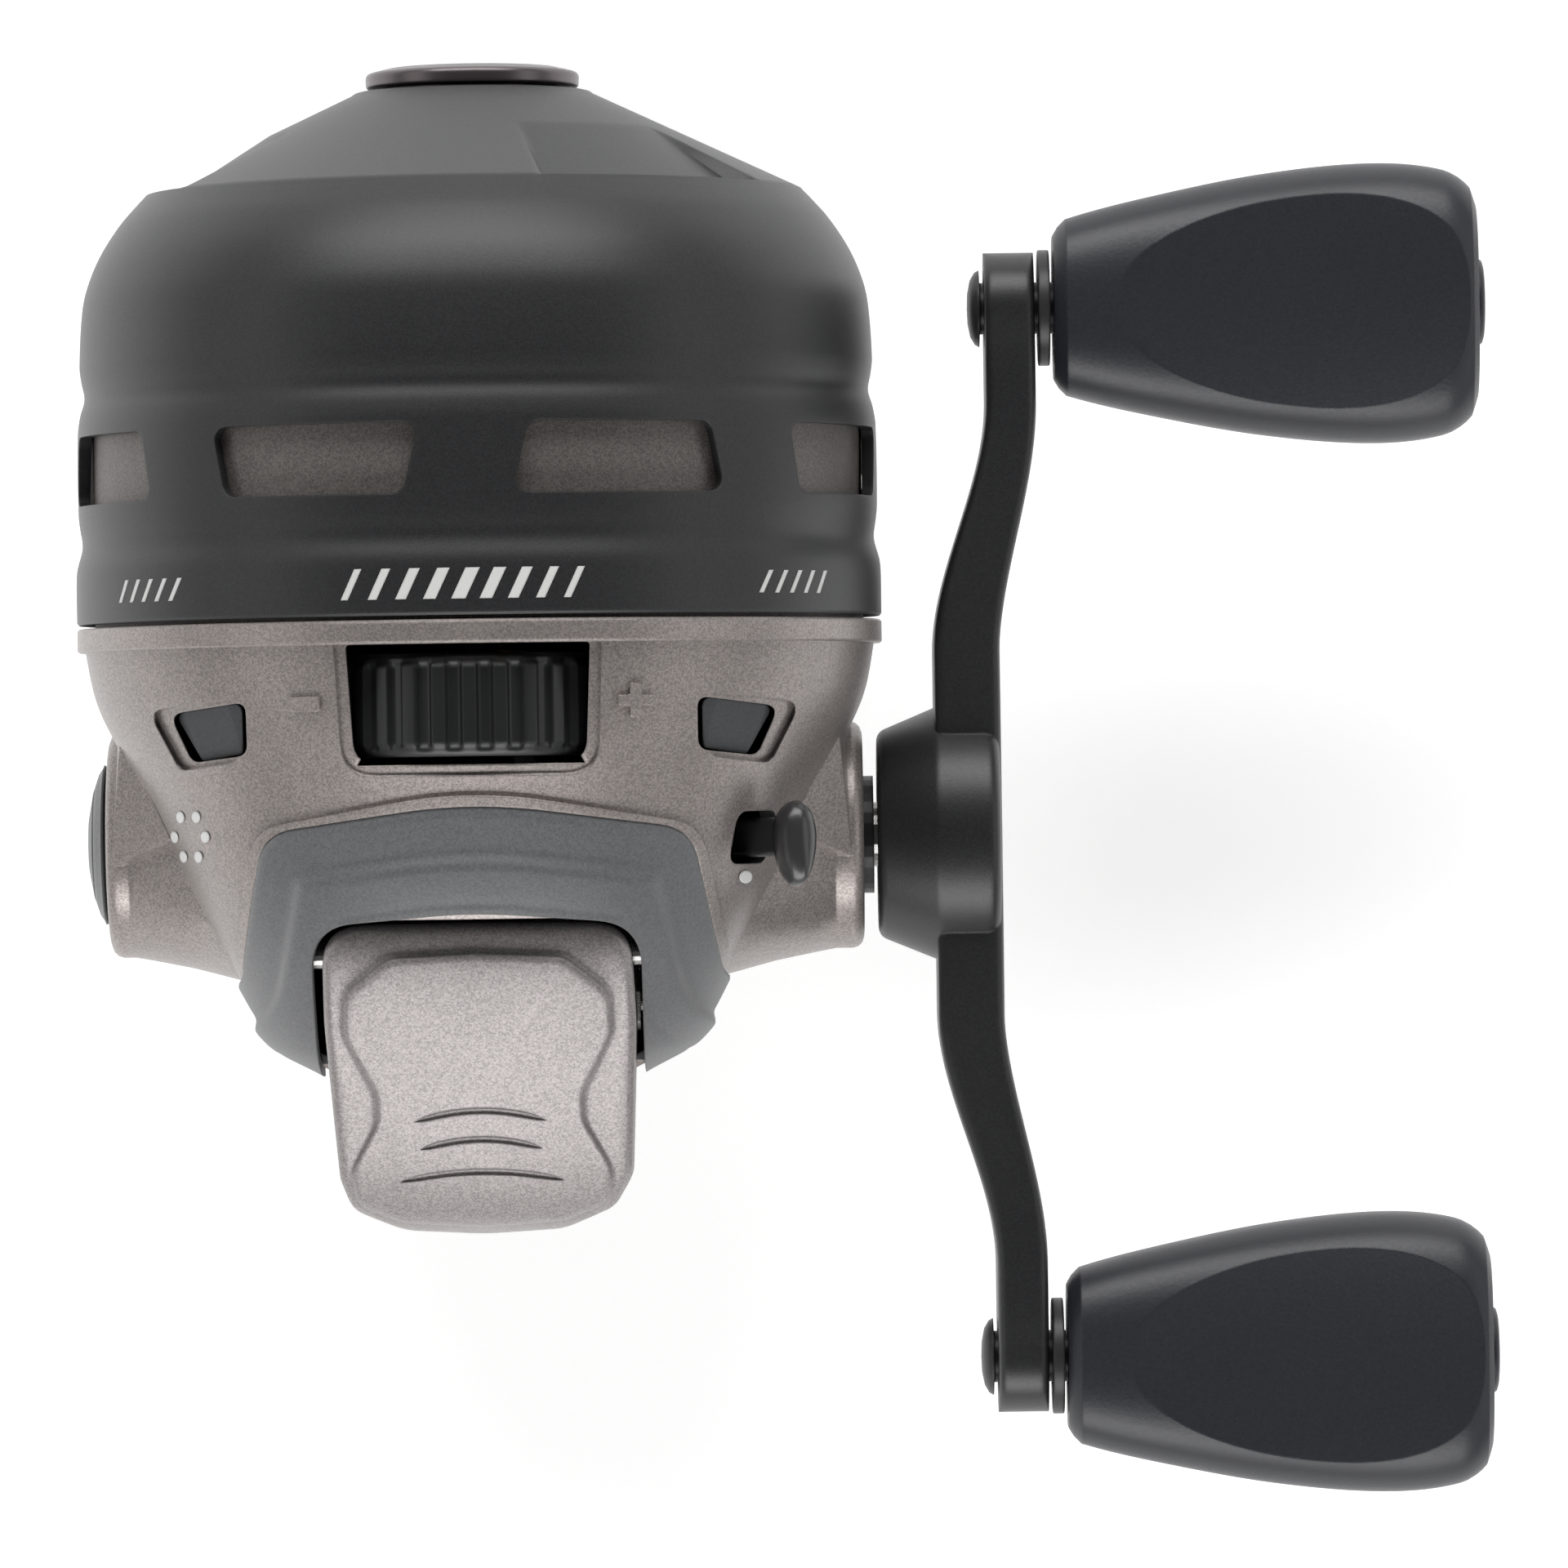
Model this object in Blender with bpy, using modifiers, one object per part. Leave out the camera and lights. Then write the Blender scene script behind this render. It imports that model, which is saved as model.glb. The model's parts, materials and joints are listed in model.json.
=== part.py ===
"""Spincast fishing reel: an assembly of separate solids with its gear train inside.

Frame: +Y points to the line hole in the nose, +X to the crank handle, +Z away from the rod.
The origin is the centre of the reel foot's underside. All sizes are metres.
"""
from math import asin, atan2, cos, pi, radians, sin, sqrt, tan

import bmesh
import bpy
from mathutils import Matrix, Vector

MM = 0.001
GAP = 0.3 * MM                     # running clearance between neighbouring pieces

# Overall layout
REEL_Z = 40.0 * MM                 # centre shaft above the foot's underside
CRANK_DROP = 5.5 * MM              # crank shaft below the centre shaft
CRANK_Z = REEL_Z - CRANK_DROP

# Front cover
COVER_R = 31.0 * MM
COVER_REAR_Y = 16.9 * MM
COVER_NOSE_Y = 57.7 * MM
COVER_WALL = 0.9 * MM
COVER_RIDGE_R = 25.4 * MM
COVER_RIDGE_Y = 49.8 * MM
NOSE_HOLE_R = 6.8 * MM
WINDOW_COUNT = 8
WINDOW_Y = 28.65 * MM
WINDOW_LENGTH = 5.3 * MM
WINDOW_WIDE = 17.0 * MM
WINDOW_NARROW = 14.6 * MM
SCOOP_ANGLES = (37.0, 157.0, -83.0)
SCOOP_SPAN = 46.0
SCOOP_DEPTH = 1.3 * MM

# Line ring in the nose
RING_R = 8.25 * MM
RING_HOLE_R = 3.4 * MM
RING_LENGTH = 1.5 * MM

# Housing
HOUSING_WALL = 1.8 * MM
FLANGE_Y = 15.4 * MM
FLANGE_LENGTH = 1.2 * MM
COLLAR_R = 29.6 * MM
COLLAR_WALL = 1.3 * MM
COLLAR_FRONT_Y = 32.6 * MM
BOSS_R = 8.8 * MM
BOSS_RIGHT_X = 29.4 * MM
BOSS_LEFT_X = 29.0 * MM
PEDESTAL_WIDTH = 11.0 * MM
PEDESTAL_LENGTH = 25.0 * MM

# Foot
FOOT_LENGTH = 56.0 * MM
FOOT_WIDTH = 12.7 * MM
FOOT_THICK = 2.6 * MM
FOOT_TIP_THICK = 1.2 * MM
FOOT_PAD_TOP = 6.6 * MM
FOOT_SCREW_Y = 7.5 * MM
FOOT_SCREW_R = 1.2 * MM
FOOT_SCREW_HEAD_R = 2.5 * MM

# Deck, spool and spinner
DECK_THICK = 2.0 * MM
HUB_R = 8.0 * MM
HUB_FRONT_Y = 32.4 * MM
SPOOL_R = 24.0 * MM
SPOOL_ARBOR_R = 15.0 * MM
SPOOL_REAR_Y = 19.4 * MM
SPOOL_LENGTH = 11.7 * MM
SPOOL_FLANGE = 1.2 * MM
SPINNER_R = 26.2 * MM
SPINNER_WALL = 1.2 * MM
SPINNER_REAR_Y = 30.0 * MM
SPINNER_FRONT_Y = 40.2 * MM
PICKUP_PIN_R = 0.8 * MM
PICKUP_PIN_Y = 36.8 * MM

# Centre shaft and its return spring
SHAFT_R = 1.25 * MM
SHAFT_REAR_Y = -18.6 * MM
SEAT_R = 2.3 * MM
SEAT_REAR_Y = -20.0 * MM
SEAT_LENGTH = 3.4 * MM
SPRING_R = 1.9 * MM
SPRING_WIRE_R = 0.25 * MM
SPRING_TURNS = 5
GUIDE_Y = -6.7 * MM
GUIDE_THICK = 2.0 * MM

# Gear pair: a face gear on the crank shaft drives a helical pinion on the centre shaft
GEAR_TEETH = 29
GEAR_PITCH_R = 12.3 * MM
GEAR_FACE_WIDTH = 2.6 * MM
GEAR_RIM = 2.4 * MM
PINION_TEETH = 7
TOOTH_ADDENDUM = 0.7 * MM
TOOTH_DEDENDUM = 0.95 * MM
TOOTH_THICK = 0.9 * MM            # at the pitch line, leaving backlash
TOOTH_FLANK = radians(22.0)
PINION_REAR_Y = 7.4 * MM
PINION_TOOTHED = 7.2 * MM
PINION_JOURNAL_R = 2.9 * MM
PINION_BEARING_R = 5.0 * MM

# Crank train
CRANK_SHAFT_R = 2.5 * MM
CRANK_BEARING_R = 5.0 * MM
CRANK_BEARING_LENGTH = 4.0 * MM
RATCHET_TEETH = 12
RATCHET_R = 8.0 * MM
RATCHET_DEPTH = 1.5 * MM
RATCHET_X = 11.3 * MM
RATCHET_THICK = 2.0 * MM
RATCHET_PHASE = radians(-6.0)      # a tooth space faces the pawl at rest
COLLAR_RING_R = 4.55 * MM
CAP_R = 6.2 * MM

# Handle
ARM_REACH = 40.7 * MM              # crank axis to knob axis
ARM_HUB_X = 30.5 * MM
ARM_X = 35.0 * MM
ARM_THICK = 5.1 * MM
ARM_OFFSET = 4.0 * MM              # sideways step of the arm's ends
ARM_END_THICK = 3.9 * MM
ARM_END_R = 4.3 * MM
ARM_HALF_WIDTH = 6.6 * MM
ARM_STRAIGHT = 17.0 * MM
HUB_SMALL_R = 7.9 * MM
HUB_LARGE_R = 9.8 * MM
KNOB_LENGTH = 32.8 * MM
KNOB_HALF_WIDTH = 10.85 * MM
KNOB_HALF_THICK = 7.0 * MM
KNOB_PIN_R = 2.0 * MM
WASHER_R = 4.5 * MM
WASHER_THICK = 0.9 * MM

# Drag dial
DIAL_R = 11.25 * MM
DIAL_Z = REEL_Z + 18.6 * MM
DIAL_REAR_Y = 6.4 * MM
DIAL_LENGTH = 7.7 * MM
DIAL_RIBS = 30
DIAL_RIB_DEPTH = 0.45 * MM
DRAG_SCREW_R = 1.8 * MM
DIAL_WINDOW = (18.1 * MM, 8.8 * MM)

# Thumb button
BUTTON_Y = -8.5 * MM
BUTTON_Z = REEL_Z + 16.0 * MM
BUTTON_HALF_WIDTH = 12.0 * MM
BUTTON_REAR_Y = -30.1 * MM
BUTTON_FRONT_Y = -6.2 * MM
BUTTON_WALL = 1.3 * MM
WELL_GAP = 0.4 * MM
PAD_RISE = 0.6 * MM
BUTTON_PIN_R = 1.0 * MM
PUSHER_THICK = 1.6 * MM
PUSHER_WIDTH = 6.0 * MM

# Anti-reverse lever and pawl
LEVER_X = 15.0 * MM
LEVER_Z = REEL_Z + 5.5 * MM
LEVER_REACH = 13.4 * MM
LEVER_LEAN = radians(41.0)         # from +Z towards +X at rest, switched off
LEVER_THROW = radians(13.0)
PAWL_Y = -12.5 * MM
PAWL_Z = CRANK_Z + 10.5 * MM
PAWL_R = 2.2 * MM
PAWL_PIN_R = 0.8 * MM

ALONG_X = (0.0, pi / 2, 0.0)
ALONG_Y = (-pi / 2, 0.0, 0.0)
ALONG_Z = (0.0, 0.0, 0.0)

COLOURS = {
    "soft_black": ((0.024, 0.025, 0.028), 0.55, 0.0),
    "titanium_paint": ((0.30, 0.27, 0.25), 0.38, 0.6),
    "button_paint": ((0.40, 0.37, 0.36), 0.36, 0.6),
    "soft_grey": ((0.09, 0.095, 0.10), 0.6, 0.0),
    "gloss_black": ((0.010, 0.011, 0.012), 0.25, 0.0),
    "arm_black": ((0.022, 0.023, 0.026), 0.4, 0.4),
    "knob_black": ((0.024, 0.026, 0.033), 0.6, 0.0),
    "gunmetal": ((0.045, 0.04, 0.042), 0.22, 1.0),
    "steel": ((0.56, 0.56, 0.57), 0.28, 1.0),
    "brass": ((0.62, 0.42, 0.18), 0.32, 1.0),
    "zinc": ((0.42, 0.43, 0.45), 0.42, 1.0),
    "aluminium": ((0.66, 0.67, 0.69), 0.35, 1.0),
    "nylon": ((0.72, 0.70, 0.64), 0.5, 0.0),
}


# ---------------------------------------------------------------- scene helpers

def clear_scene():
    for obj in list(bpy.data.objects):
        bpy.data.objects.remove(obj)


def new_collection(name):
    collection = bpy.data.collections.new(name)
    bpy.context.scene.collection.children.link(collection)
    return collection


def make_materials():
    materials = {}
    for name, (colour, roughness, metallic) in COLOURS.items():
        material = bpy.data.materials.new(name)
        material.use_nodes = True
        shader = material.node_tree.nodes["Principled BSDF"]
        shader.inputs["Base Color"].default_value = (*colour, 1.0)
        shader.inputs["Roughness"].default_value = roughness
        shader.inputs["Metallic"].default_value = metallic
        materials[name] = material
    return materials


def add_pivot(name, location):
    pivot = bpy.data.objects.new(name, None)
    pivot.empty_display_size = 5 * MM
    pivot.location = location
    PARTS.objects.link(pivot)
    bpy.context.view_layer.update()
    return pivot


def add_object(name, mesh, colour, at=(0, 0, 0), turn=ALONG_Z):
    obj = bpy.data.objects.new(name, mesh)
    if colour:
        mesh.materials.clear()
        mesh.materials.append(MATERIALS[colour])
    obj.location = at
    obj.rotation_euler = turn
    PARTS.objects.link(obj)
    return obj


def hang(obj, pivot):
    """Parent obj to the pivot without moving it."""
    bpy.context.view_layer.update()
    obj.parent = pivot
    obj.matrix_parent_inverse = pivot.matrix_world.inverted()
    return obj


def settle(obj):
    """Replace obj's data by its evaluated mesh, shaded smooth with crisp edges."""
    bpy.context.view_layer.update()
    evaluated = obj.evaluated_get(bpy.context.evaluated_depsgraph_get())
    mesh = bpy.data.meshes.new_from_object(evaluated)
    mesh.name = obj.name
    obj.modifiers.clear()
    obj.data = mesh
    mesh.shade_smooth()
    mesh.set_sharp_from_angle(angle=radians(32))
    return obj


def combine(obj, other, operation):
    """Boolean obj with other, and keep other with the cutters."""
    modifier = obj.modifiers.new(other.name, "BOOLEAN")
    modifier.operation = operation
    modifier.solver = "EXACT"
    modifier.object = other
    other.hide_render = True
    other.display_type = "WIRE"
    PARTS.objects.unlink(other)
    CUTTERS.objects.link(other)
    return settle(obj)


def cut(obj, *cutters):
    for cutter in cutters:
        combine(obj, cutter, "DIFFERENCE")
    return obj


def fuse(obj, *others):
    for other in others:
        combine(obj, other, "UNION")
    return obj


def trim(obj, other):
    return combine(obj, other, "INTERSECT")


def bevel(obj, width, segments=2, angle=40.0):
    modifier = obj.modifiers.new("Bevel", "BEVEL")
    modifier.width = width
    modifier.segments = segments
    modifier.limit_method = "ANGLE"
    modifier.angle_limit = radians(angle)
    return settle(obj)


# ---------------------------------------------------------------- shape helpers

def turned(name, colour, profile, at=(0, 0, 0), turn=ALONG_Y, steps=32):
    """A solid of revolution from (radius, distance along the axis) points."""
    area = 0.0
    for (r0, h0), (r1, h1) in zip(profile, profile[1:] + profile[:1]):
        area += r0 * h1 - r1 * h0
    if area > 0:
        profile = profile[::-1]
    on_axis = profile[0][0] == 0 and profile[-1][0] == 0
    edges = [(i, i + 1) for i in range(len(profile) - 1)]
    if not on_axis:
        edges.append((len(profile) - 1, 0))
    mesh = bpy.data.meshes.new(name)
    mesh.from_pydata([(r, 0, h) for r, h in profile], edges, [])
    obj = add_object(name, mesh, colour, at, turn)
    screw = obj.modifiers.new("Screw", "SCREW")
    screw.steps = steps
    screw.render_steps = steps
    screw.use_merge_vertices = True
    screw.merge_threshold = 0.000001
    return settle(obj)


def tube(name, colour, outer, inner, start, end, at=(0, 0, 0), turn=ALONG_Y, steps=24):
    profile = [(inner, start), (outer, start), (outer, end), (inner, end)]
    return turned(name, colour, profile, at, turn, steps)


def rod(name, colour, radius, start, end, at=(0, 0, 0), turn=ALONG_Y, steps=20):
    profile = [(0, start), (radius, start), (radius, end), (0, end)]
    return turned(name, colour, profile, at, turn, steps)


def box(name, colour, size, at, turn=ALONG_Z):
    mesh = bpy.data.meshes.new(name)
    bm = bmesh.new()
    bmesh.ops.create_cube(bm, size=1.0)
    bmesh.ops.scale(bm, vec=size, verts=bm.verts)
    bm.to_mesh(mesh)
    bm.free()
    return add_object(name, mesh, colour, at, turn)


def flat(name, colour, outlines, thickness, at=(0, 0, 0), turn=ALONG_Z):
    """A plate from closed outlines in its local XY plane, later outlines being holes."""
    curve = bpy.data.curves.new(name, "CURVE")
    curve.dimensions = "2D"
    curve.fill_mode = "BOTH"
    curve.extrude = thickness / 2
    for outline in outlines:
        spline = curve.splines.new("POLY")
        spline.points.add(len(outline) - 1)
        spline.use_cyclic_u = True
        for point, (x, y) in zip(spline.points, outline):
            point.co = (x, y, 0.0, 1.0)
    source = bpy.data.objects.new(name + "_outline", curve)
    PARTS.objects.link(source)
    bpy.context.view_layer.update()
    evaluated = source.evaluated_get(bpy.context.evaluated_depsgraph_get())
    mesh = bpy.data.meshes.new_from_object(evaluated)
    bpy.data.objects.remove(source)
    bm = bmesh.new()
    bm.from_mesh(mesh)
    bmesh.ops.remove_doubles(bm, verts=bm.verts, dist=0.000001)
    bmesh.ops.recalc_face_normals(bm, faces=bm.faces)
    bm.to_mesh(mesh)
    bm.free()
    return add_object(name, mesh, colour, at, turn)


def circle(radius, steps=24, centre=(0, 0)):
    points = []
    for i in range(steps):
        a = 2 * pi * i / steps
        points.append((centre[0] + radius * cos(a), centre[1] + radius * sin(a)))
    return points


def rounded(corners, radii, steps=3):
    """The outline through corners, each turned by an arc of its radius."""
    points = []
    count = len(corners)
    for i in range(count):
        here = Vector(corners[i])
        back = (Vector(corners[i - 1]) - here).normalized()
        ahead = (Vector(corners[(i + 1) % count]) - here).normalized()
        radius = radii[i] if isinstance(radii, (list, tuple)) else radii
        half = back.angle(ahead) / 2
        if radius == 0 or half > radians(89.9):
            points.append(tuple(here))
            continue
        centre = here + (back + ahead).normalized() * (radius / sin(half))
        start = here + back * (radius / tan(half)) - centre
        end = here + ahead * (radius / tan(half)) - centre
        first = atan2(start.y, start.x)
        sweep = (atan2(end.y, end.x) - first + pi) % (2 * pi) - pi
        for j in range(steps + 1):
            a = first + sweep * j / steps
            points.append((centre.x + radius * cos(a), centre.y + radius * sin(a)))
    return points


def loft(name, colour, rings, loop=False, at=(0, 0, 0), turn=ALONG_Z):
    """A solid through rings of equally many points, closed by end caps or as a loop."""
    bm = bmesh.new()
    rows = [[bm.verts.new(p) for p in ring] for ring in rings]
    size = len(rows[0])
    pairs = list(zip(rows, rows[1:]))
    if loop:
        pairs.append((rows[-1], rows[0]))
    else:
        bm.faces.new(rows[0][::-1])
        bm.faces.new(rows[-1])
    for low, high in pairs:
        for i in range(size):
            j = (i + 1) % size
            bm.faces.new((low[i], low[j], high[j], high[i]))
    bmesh.ops.recalc_face_normals(bm, faces=bm.faces)
    mesh = bpy.data.meshes.new(name)
    bm.to_mesh(mesh)
    bm.free()
    return add_object(name, mesh, colour, at, turn)


def sector(name, profile, middle, span, steps=8):
    """A solid swept about the reel axis: profile points are (radius, y), angles are degrees
    from the top towards +X."""
    rings = []
    for i in range(steps + 1):
        a = radians(middle - span / 2 + span * i / steps)
        rings.append([(r * sin(a), y, REEL_Z + r * cos(a)) for r, y in profile])
    return loft(name, None, rings)


def oval(half_x, top, bottom, power, count, y):
    """A superellipse ring in the plane y, with its middle at the reel axis's height."""
    ring = []
    for i in range(count):
        a = 2 * pi * i / count
        c, s = cos(a), sin(a)
        x = half_x * abs(c) ** (2 / power) * (1 if c >= 0 else -1)
        rise = top if s >= 0 else bottom
        ring.append((x, y, REEL_Z + rise * abs(s) ** (2 / power) * (1 if s >= 0 else -1)))
    return ring


# ---------------------------------------------------------------- housing

def housing_rings(inset, front_y, count=36):
    """Sections of the housing from its front rim back, each shrunk by inset."""
    bowl = COVER_R - 0.5 * MM
    sections = [
        (front_y, bowl, bowl, bowl, 2.0),
        (FLANGE_Y - 4.4 * MM, bowl - 0.9 * MM, bowl - 0.7 * MM, bowl - 0.9 * MM, 2.0),
        (7.5 * MM, bowl - 2.5 * MM, bowl - 1.4 * MM, bowl - 2.5 * MM, 2.0),
        (3.0 * MM, bowl - 5.0 * MM, bowl - 3.0 * MM, bowl - 3.6 * MM, 2.1),
        (-4.0 * MM, 22.4 * MM, 25.2 * MM, bowl - 4.5 * MM, 2.2),
        (-10.5 * MM, 18.7 * MM, 21.0 * MM, bowl - 6.0 * MM, 2.3),
        (-15.6 * MM, 15.3 * MM, 16.4 * MM, bowl - 8.0 * MM, 2.3),
        (-18.7 * MM, BUTTON_HALF_WIDTH - 1.9 * MM, 12.4 * MM, bowl - 10.0 * MM, 2.5),
        (-21.8 * MM, BUTTON_HALF_WIDTH - 3.0 * MM, 8.6 * MM, bowl - 12.5 * MM, 2.6),
        (-23.8 * MM, BUTTON_HALF_WIDTH - 6.0 * MM, 3.4 * MM, bowl - 17.0 * MM, 2.3),
    ]
    rings = []
    for y, width, top, bottom, power in sections:
        pull = inset if y < FLANGE_Y - 5 * MM else 0.0
        back = pull * max(0.0, -y) / (23.8 * MM)
        ring = oval(width - inset, top - inset, bottom - inset, power, count, y + back)
        rings.append(ring)
    return rings


def build_housing():
    """The moulded housing: a thin bowl with side bosses, a front collar and a pedestal."""
    outside = housing_rings(0.0, FLANGE_Y)
    inside = housing_rings(HOUSING_WALL, FLANGE_Y)
    shell = loft("body_shell", "titanium_paint", inside[::-1] + outside)
    fuse(shell, housing_rim())
    for name, side, face in (("right", 1, BOSS_RIGHT_X), ("left", -1, BOSS_LEFT_X)):
        seat_r = CRANK_BEARING_R + GAP
        start = 17 * MM
        cut(shell, rod("boss_hole_" + name, None, (seat_r + BOSS_R) / 2, side * 12 * MM,
                       side * (face + 1 * MM), (0, 0, CRANK_Z), ALONG_X, 24))
        profile = [(seat_r, start), (BOSS_R, start), (BOSS_R, face - 1.0 * MM),
                   (BOSS_R - 0.4 * MM, face - 0.3 * MM), (BOSS_R - 1.2 * MM, face),
                   (seat_r, face)]
        fuse(shell, turned("boss_" + name, None, [(r, side * x) for r, x in profile],
                           (0, 0, CRANK_Z), ALONG_X, 24))
    pedestal_foot = FOOT_PAD_TOP + GAP
    pedestal_rise = REEL_Z - COVER_R + 6 * MM - pedestal_foot
    pedestal = box("pedestal", None, (PEDESTAL_WIDTH, PEDESTAL_LENGTH, pedestal_rise),
                   (0, 0, pedestal_foot + pedestal_rise / 2))
    web_end = SEAT_R - 0.2 * MM
    web_root = 20.5 * MM
    web = box("guide_web", None, (web_end + web_root, GUIDE_THICK, 8 * MM),
              ((web_end - web_root) / 2, GUIDE_Y, REEL_Z + 0.8 * MM))
    post = rod("pawl_post", None, PAWL_PIN_R + 1.3 * MM, RATCHET_X + 1.6 * MM,
               RATCHET_X + 4.2 * MM, (0, PAWL_Y, PAWL_Z), ALONG_X, 16)
    fuse(shell, pedestal, web, post)
    cut_housing_openings(shell)
    return shell


def housing_rim():
    """The flange that the cover seats on, with the collar that shows behind its windows."""
    rear = FLANGE_Y - 2.5 * MM
    lip = FLANGE_Y - 0.6 * MM
    front = FLANGE_Y + FLANGE_LENGTH
    inner = COLLAR_R - COLLAR_WALL
    profile = [(inner, rear), (COLLAR_R, rear), (COLLAR_R, lip), (COVER_R, lip),
               (COVER_R, front), (COLLAR_R, front), (COLLAR_R, COLLAR_FRONT_Y),
               (inner, COLLAR_FRONT_Y)]
    return turned("front_rim", None, profile, (0, 0, REEL_Z), steps=36)


def cut_housing_openings(shell):
    shaft_hole = rod("shaft_hole", None, SHAFT_R + GAP, GUIDE_Y - GUIDE_THICK,
                     GUIDE_Y + GUIDE_THICK, (0, 0, REEL_Z))
    cut(shell, shaft_hole)
    dial_recess = rod("dial_recess", None, DIAL_R + 2 * GAP, DIAL_REAR_Y - 2 * GAP,
                      DIAL_REAR_Y + DIAL_LENGTH + 2 * GAP, (0, 0, DIAL_Z), steps=36)
    cut(shell, dial_window(), dial_recess, button_well("well"), *skirt_slots())
    cut(shell, pusher_slot())
    for side in (1, -1):
        cut(shell, vent_prism("vent_%d" % side, side, 0.0, 20 * MM))
    cut(shell, lever_slot())
    for y in (-FOOT_SCREW_Y, FOOT_SCREW_Y):
        cut(shell, rod("screw_hole", None, FOOT_SCREW_R + GAP, 0, 11.5 * MM, (0, y, 0),
                       ALONG_Z, 16))
    cut(shell, rod("post_bore", None, PAWL_PIN_R + GAP, RATCHET_X, RATCHET_X + 4.2 * MM,
                   (0, PAWL_Y, PAWL_Z), ALONG_X, 12))
    for side in (1, -1):
        hole = rod("pin_hole", None, BUTTON_PIN_R + GAP, side * BUTTON_HALF_WIDTH,
                   side * (BUTTON_HALF_WIDTH + 2.8 * MM), (0, BUTTON_Y, BUTTON_Z), ALONG_X, 16)
        cut(shell, hole)
    return shell


def dial_window():
    width, length = DIAL_WINDOW
    front = 14.7 * MM
    corners = [(-width / 2, front), (width / 2, front), (width / 2 - 0.6 * MM, front - length),
               (-width / 2 + 0.6 * MM, front - length)]
    outline = rounded(corners, [0.2 * MM, 0.2 * MM, 1.6 * MM, 1.6 * MM], 4)
    return flat("dial_window", None, [outline], 20 * MM, (0, 0, REEL_Z + 26 * MM))


def button_well(name):
    """The space over the housing that the thumb button's top sweeps, as a prism along X."""
    floor = [(BUTTON_FRONT_Y + WELL_GAP, 2.0), (-17.0, -1.8), (-22.0, -7.2), (-24.5, -12.5),
             (-34.0, -18.0)]
    return side_prism(name, floor, BUTTON_HALF_WIDTH + WELL_GAP)


def skirt_slots():
    """The deeper slots that the button's side walls sink into."""
    slots = []
    floor = [(BUTTON_FRONT_Y + 1.5 * WELL_GAP, -6.5), (-17.0, -12.0), (-24.0, -19.5),
             (-36.0, -19.5)]
    width = BUTTON_WALL + 2 * WELL_GAP + 0.7 * MM
    for side in (1, -1):
        outer = side * (BUTTON_HALF_WIDTH + 1.4 * WELL_GAP)
        inner = outer - side * width
        slots.append(side_prism("skirt_slot", floor, inner, outer))
    return slots


def side_prism(name, floor, one, other=None):
    """A prism along X over a floor of (y, height above the button's hinge) points."""
    points = [(y if abs(y) < 1 else y * MM, BUTTON_Z + h * MM) for y, h in floor]
    top = REEL_Z + COVER_R + 10 * MM
    outline = points + [(points[-1][0], top), (points[0][0], top)]
    other = -one if other is None else other
    return loft(name, None, [[(x, y, z) for y, z in outline] for x in (one, other)])


def pusher_slot():
    """Where the pusher passes through the housing's roof."""
    front = SEAT_REAR_Y + 6.0 * MM
    rear = SEAT_REAR_Y - PUSHER_THICK - 3 * GAP
    return box("pusher_slot", None, (PUSHER_WIDTH + 5 * GAP, front - rear, 26 * MM),
               (0, (front + rear) / 2, REEL_Z + 10 * MM))


def vent_outline(side, shrink):
    corners = [(16.9, 11.0), (16.9, 6.6), (20.6, 6.0), (23.0, 10.2)]
    outline = rounded([(side * x * MM, y * MM) for x, y in corners],
                      [0.7 * MM, 0.4 * MM, 0.4 * MM, 0.6 * MM])
    middle = Vector((side * 19.8 * MM, 8.5 * MM))
    return [tuple(middle + (Vector(p) - middle) * (1 - shrink)) for p in outline]


def vent_prism(name, side, shrink, height):
    return flat(name, None, [vent_outline(side, shrink)], height, (0, 0, REEL_Z + 20 * MM))


def lever_slot():
    direction = Vector((sin(LEVER_LEAN - LEVER_THROW / 2), 0, cos(LEVER_LEAN - LEVER_THROW / 2)))
    at = Vector((LEVER_X, 0, LEVER_Z)) + direction * 10 * MM
    turn = (0, LEVER_LEAN - LEVER_THROW / 2, 0)
    return box("lever_slot", None, (5.6 * MM, 4.0 * MM, 12 * MM), at, turn)


def build_rear_cover():
    """A soft-touch horseshoe saddle that wraps the back of the housing round the button."""
    outside = loft("rear_cover", "soft_grey", housing_rings(-1.5 * MM, FLANGE_Y))
    inside = loft("rear_inside", None, housing_rings(-GAP, FLANGE_Y + 1 * MM))
    cut(outside, inside)
    corners = [(-15.4, 1.0), (0, 3.4), (15.4, 1.0), (18.6, -10.8), (16.0, -15.2),
               (11.5, -18.6), (-11.5, -18.6), (-16.0, -15.2), (-18.6, -10.8)]
    outline = rounded([(x * MM, y * MM) for x, y in corners],
                      [2.5 * MM, 30 * MM, 2.5 * MM, 2 * MM, 2 * MM, 1 * MM, 1 * MM, 2 * MM,
                       2 * MM])
    plan = flat("rear_plan", None, [outline], 40 * MM, (0, 0, REEL_Z + 24 * MM))
    trim(outside, plan)
    floor = [(BUTTON_FRONT_Y + WELL_GAP, -40.0), (-40.0, -40.0)]
    cut(outside, side_prism("rear_well", floor, BUTTON_HALF_WIDTH + WELL_GAP))
    return outside


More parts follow.
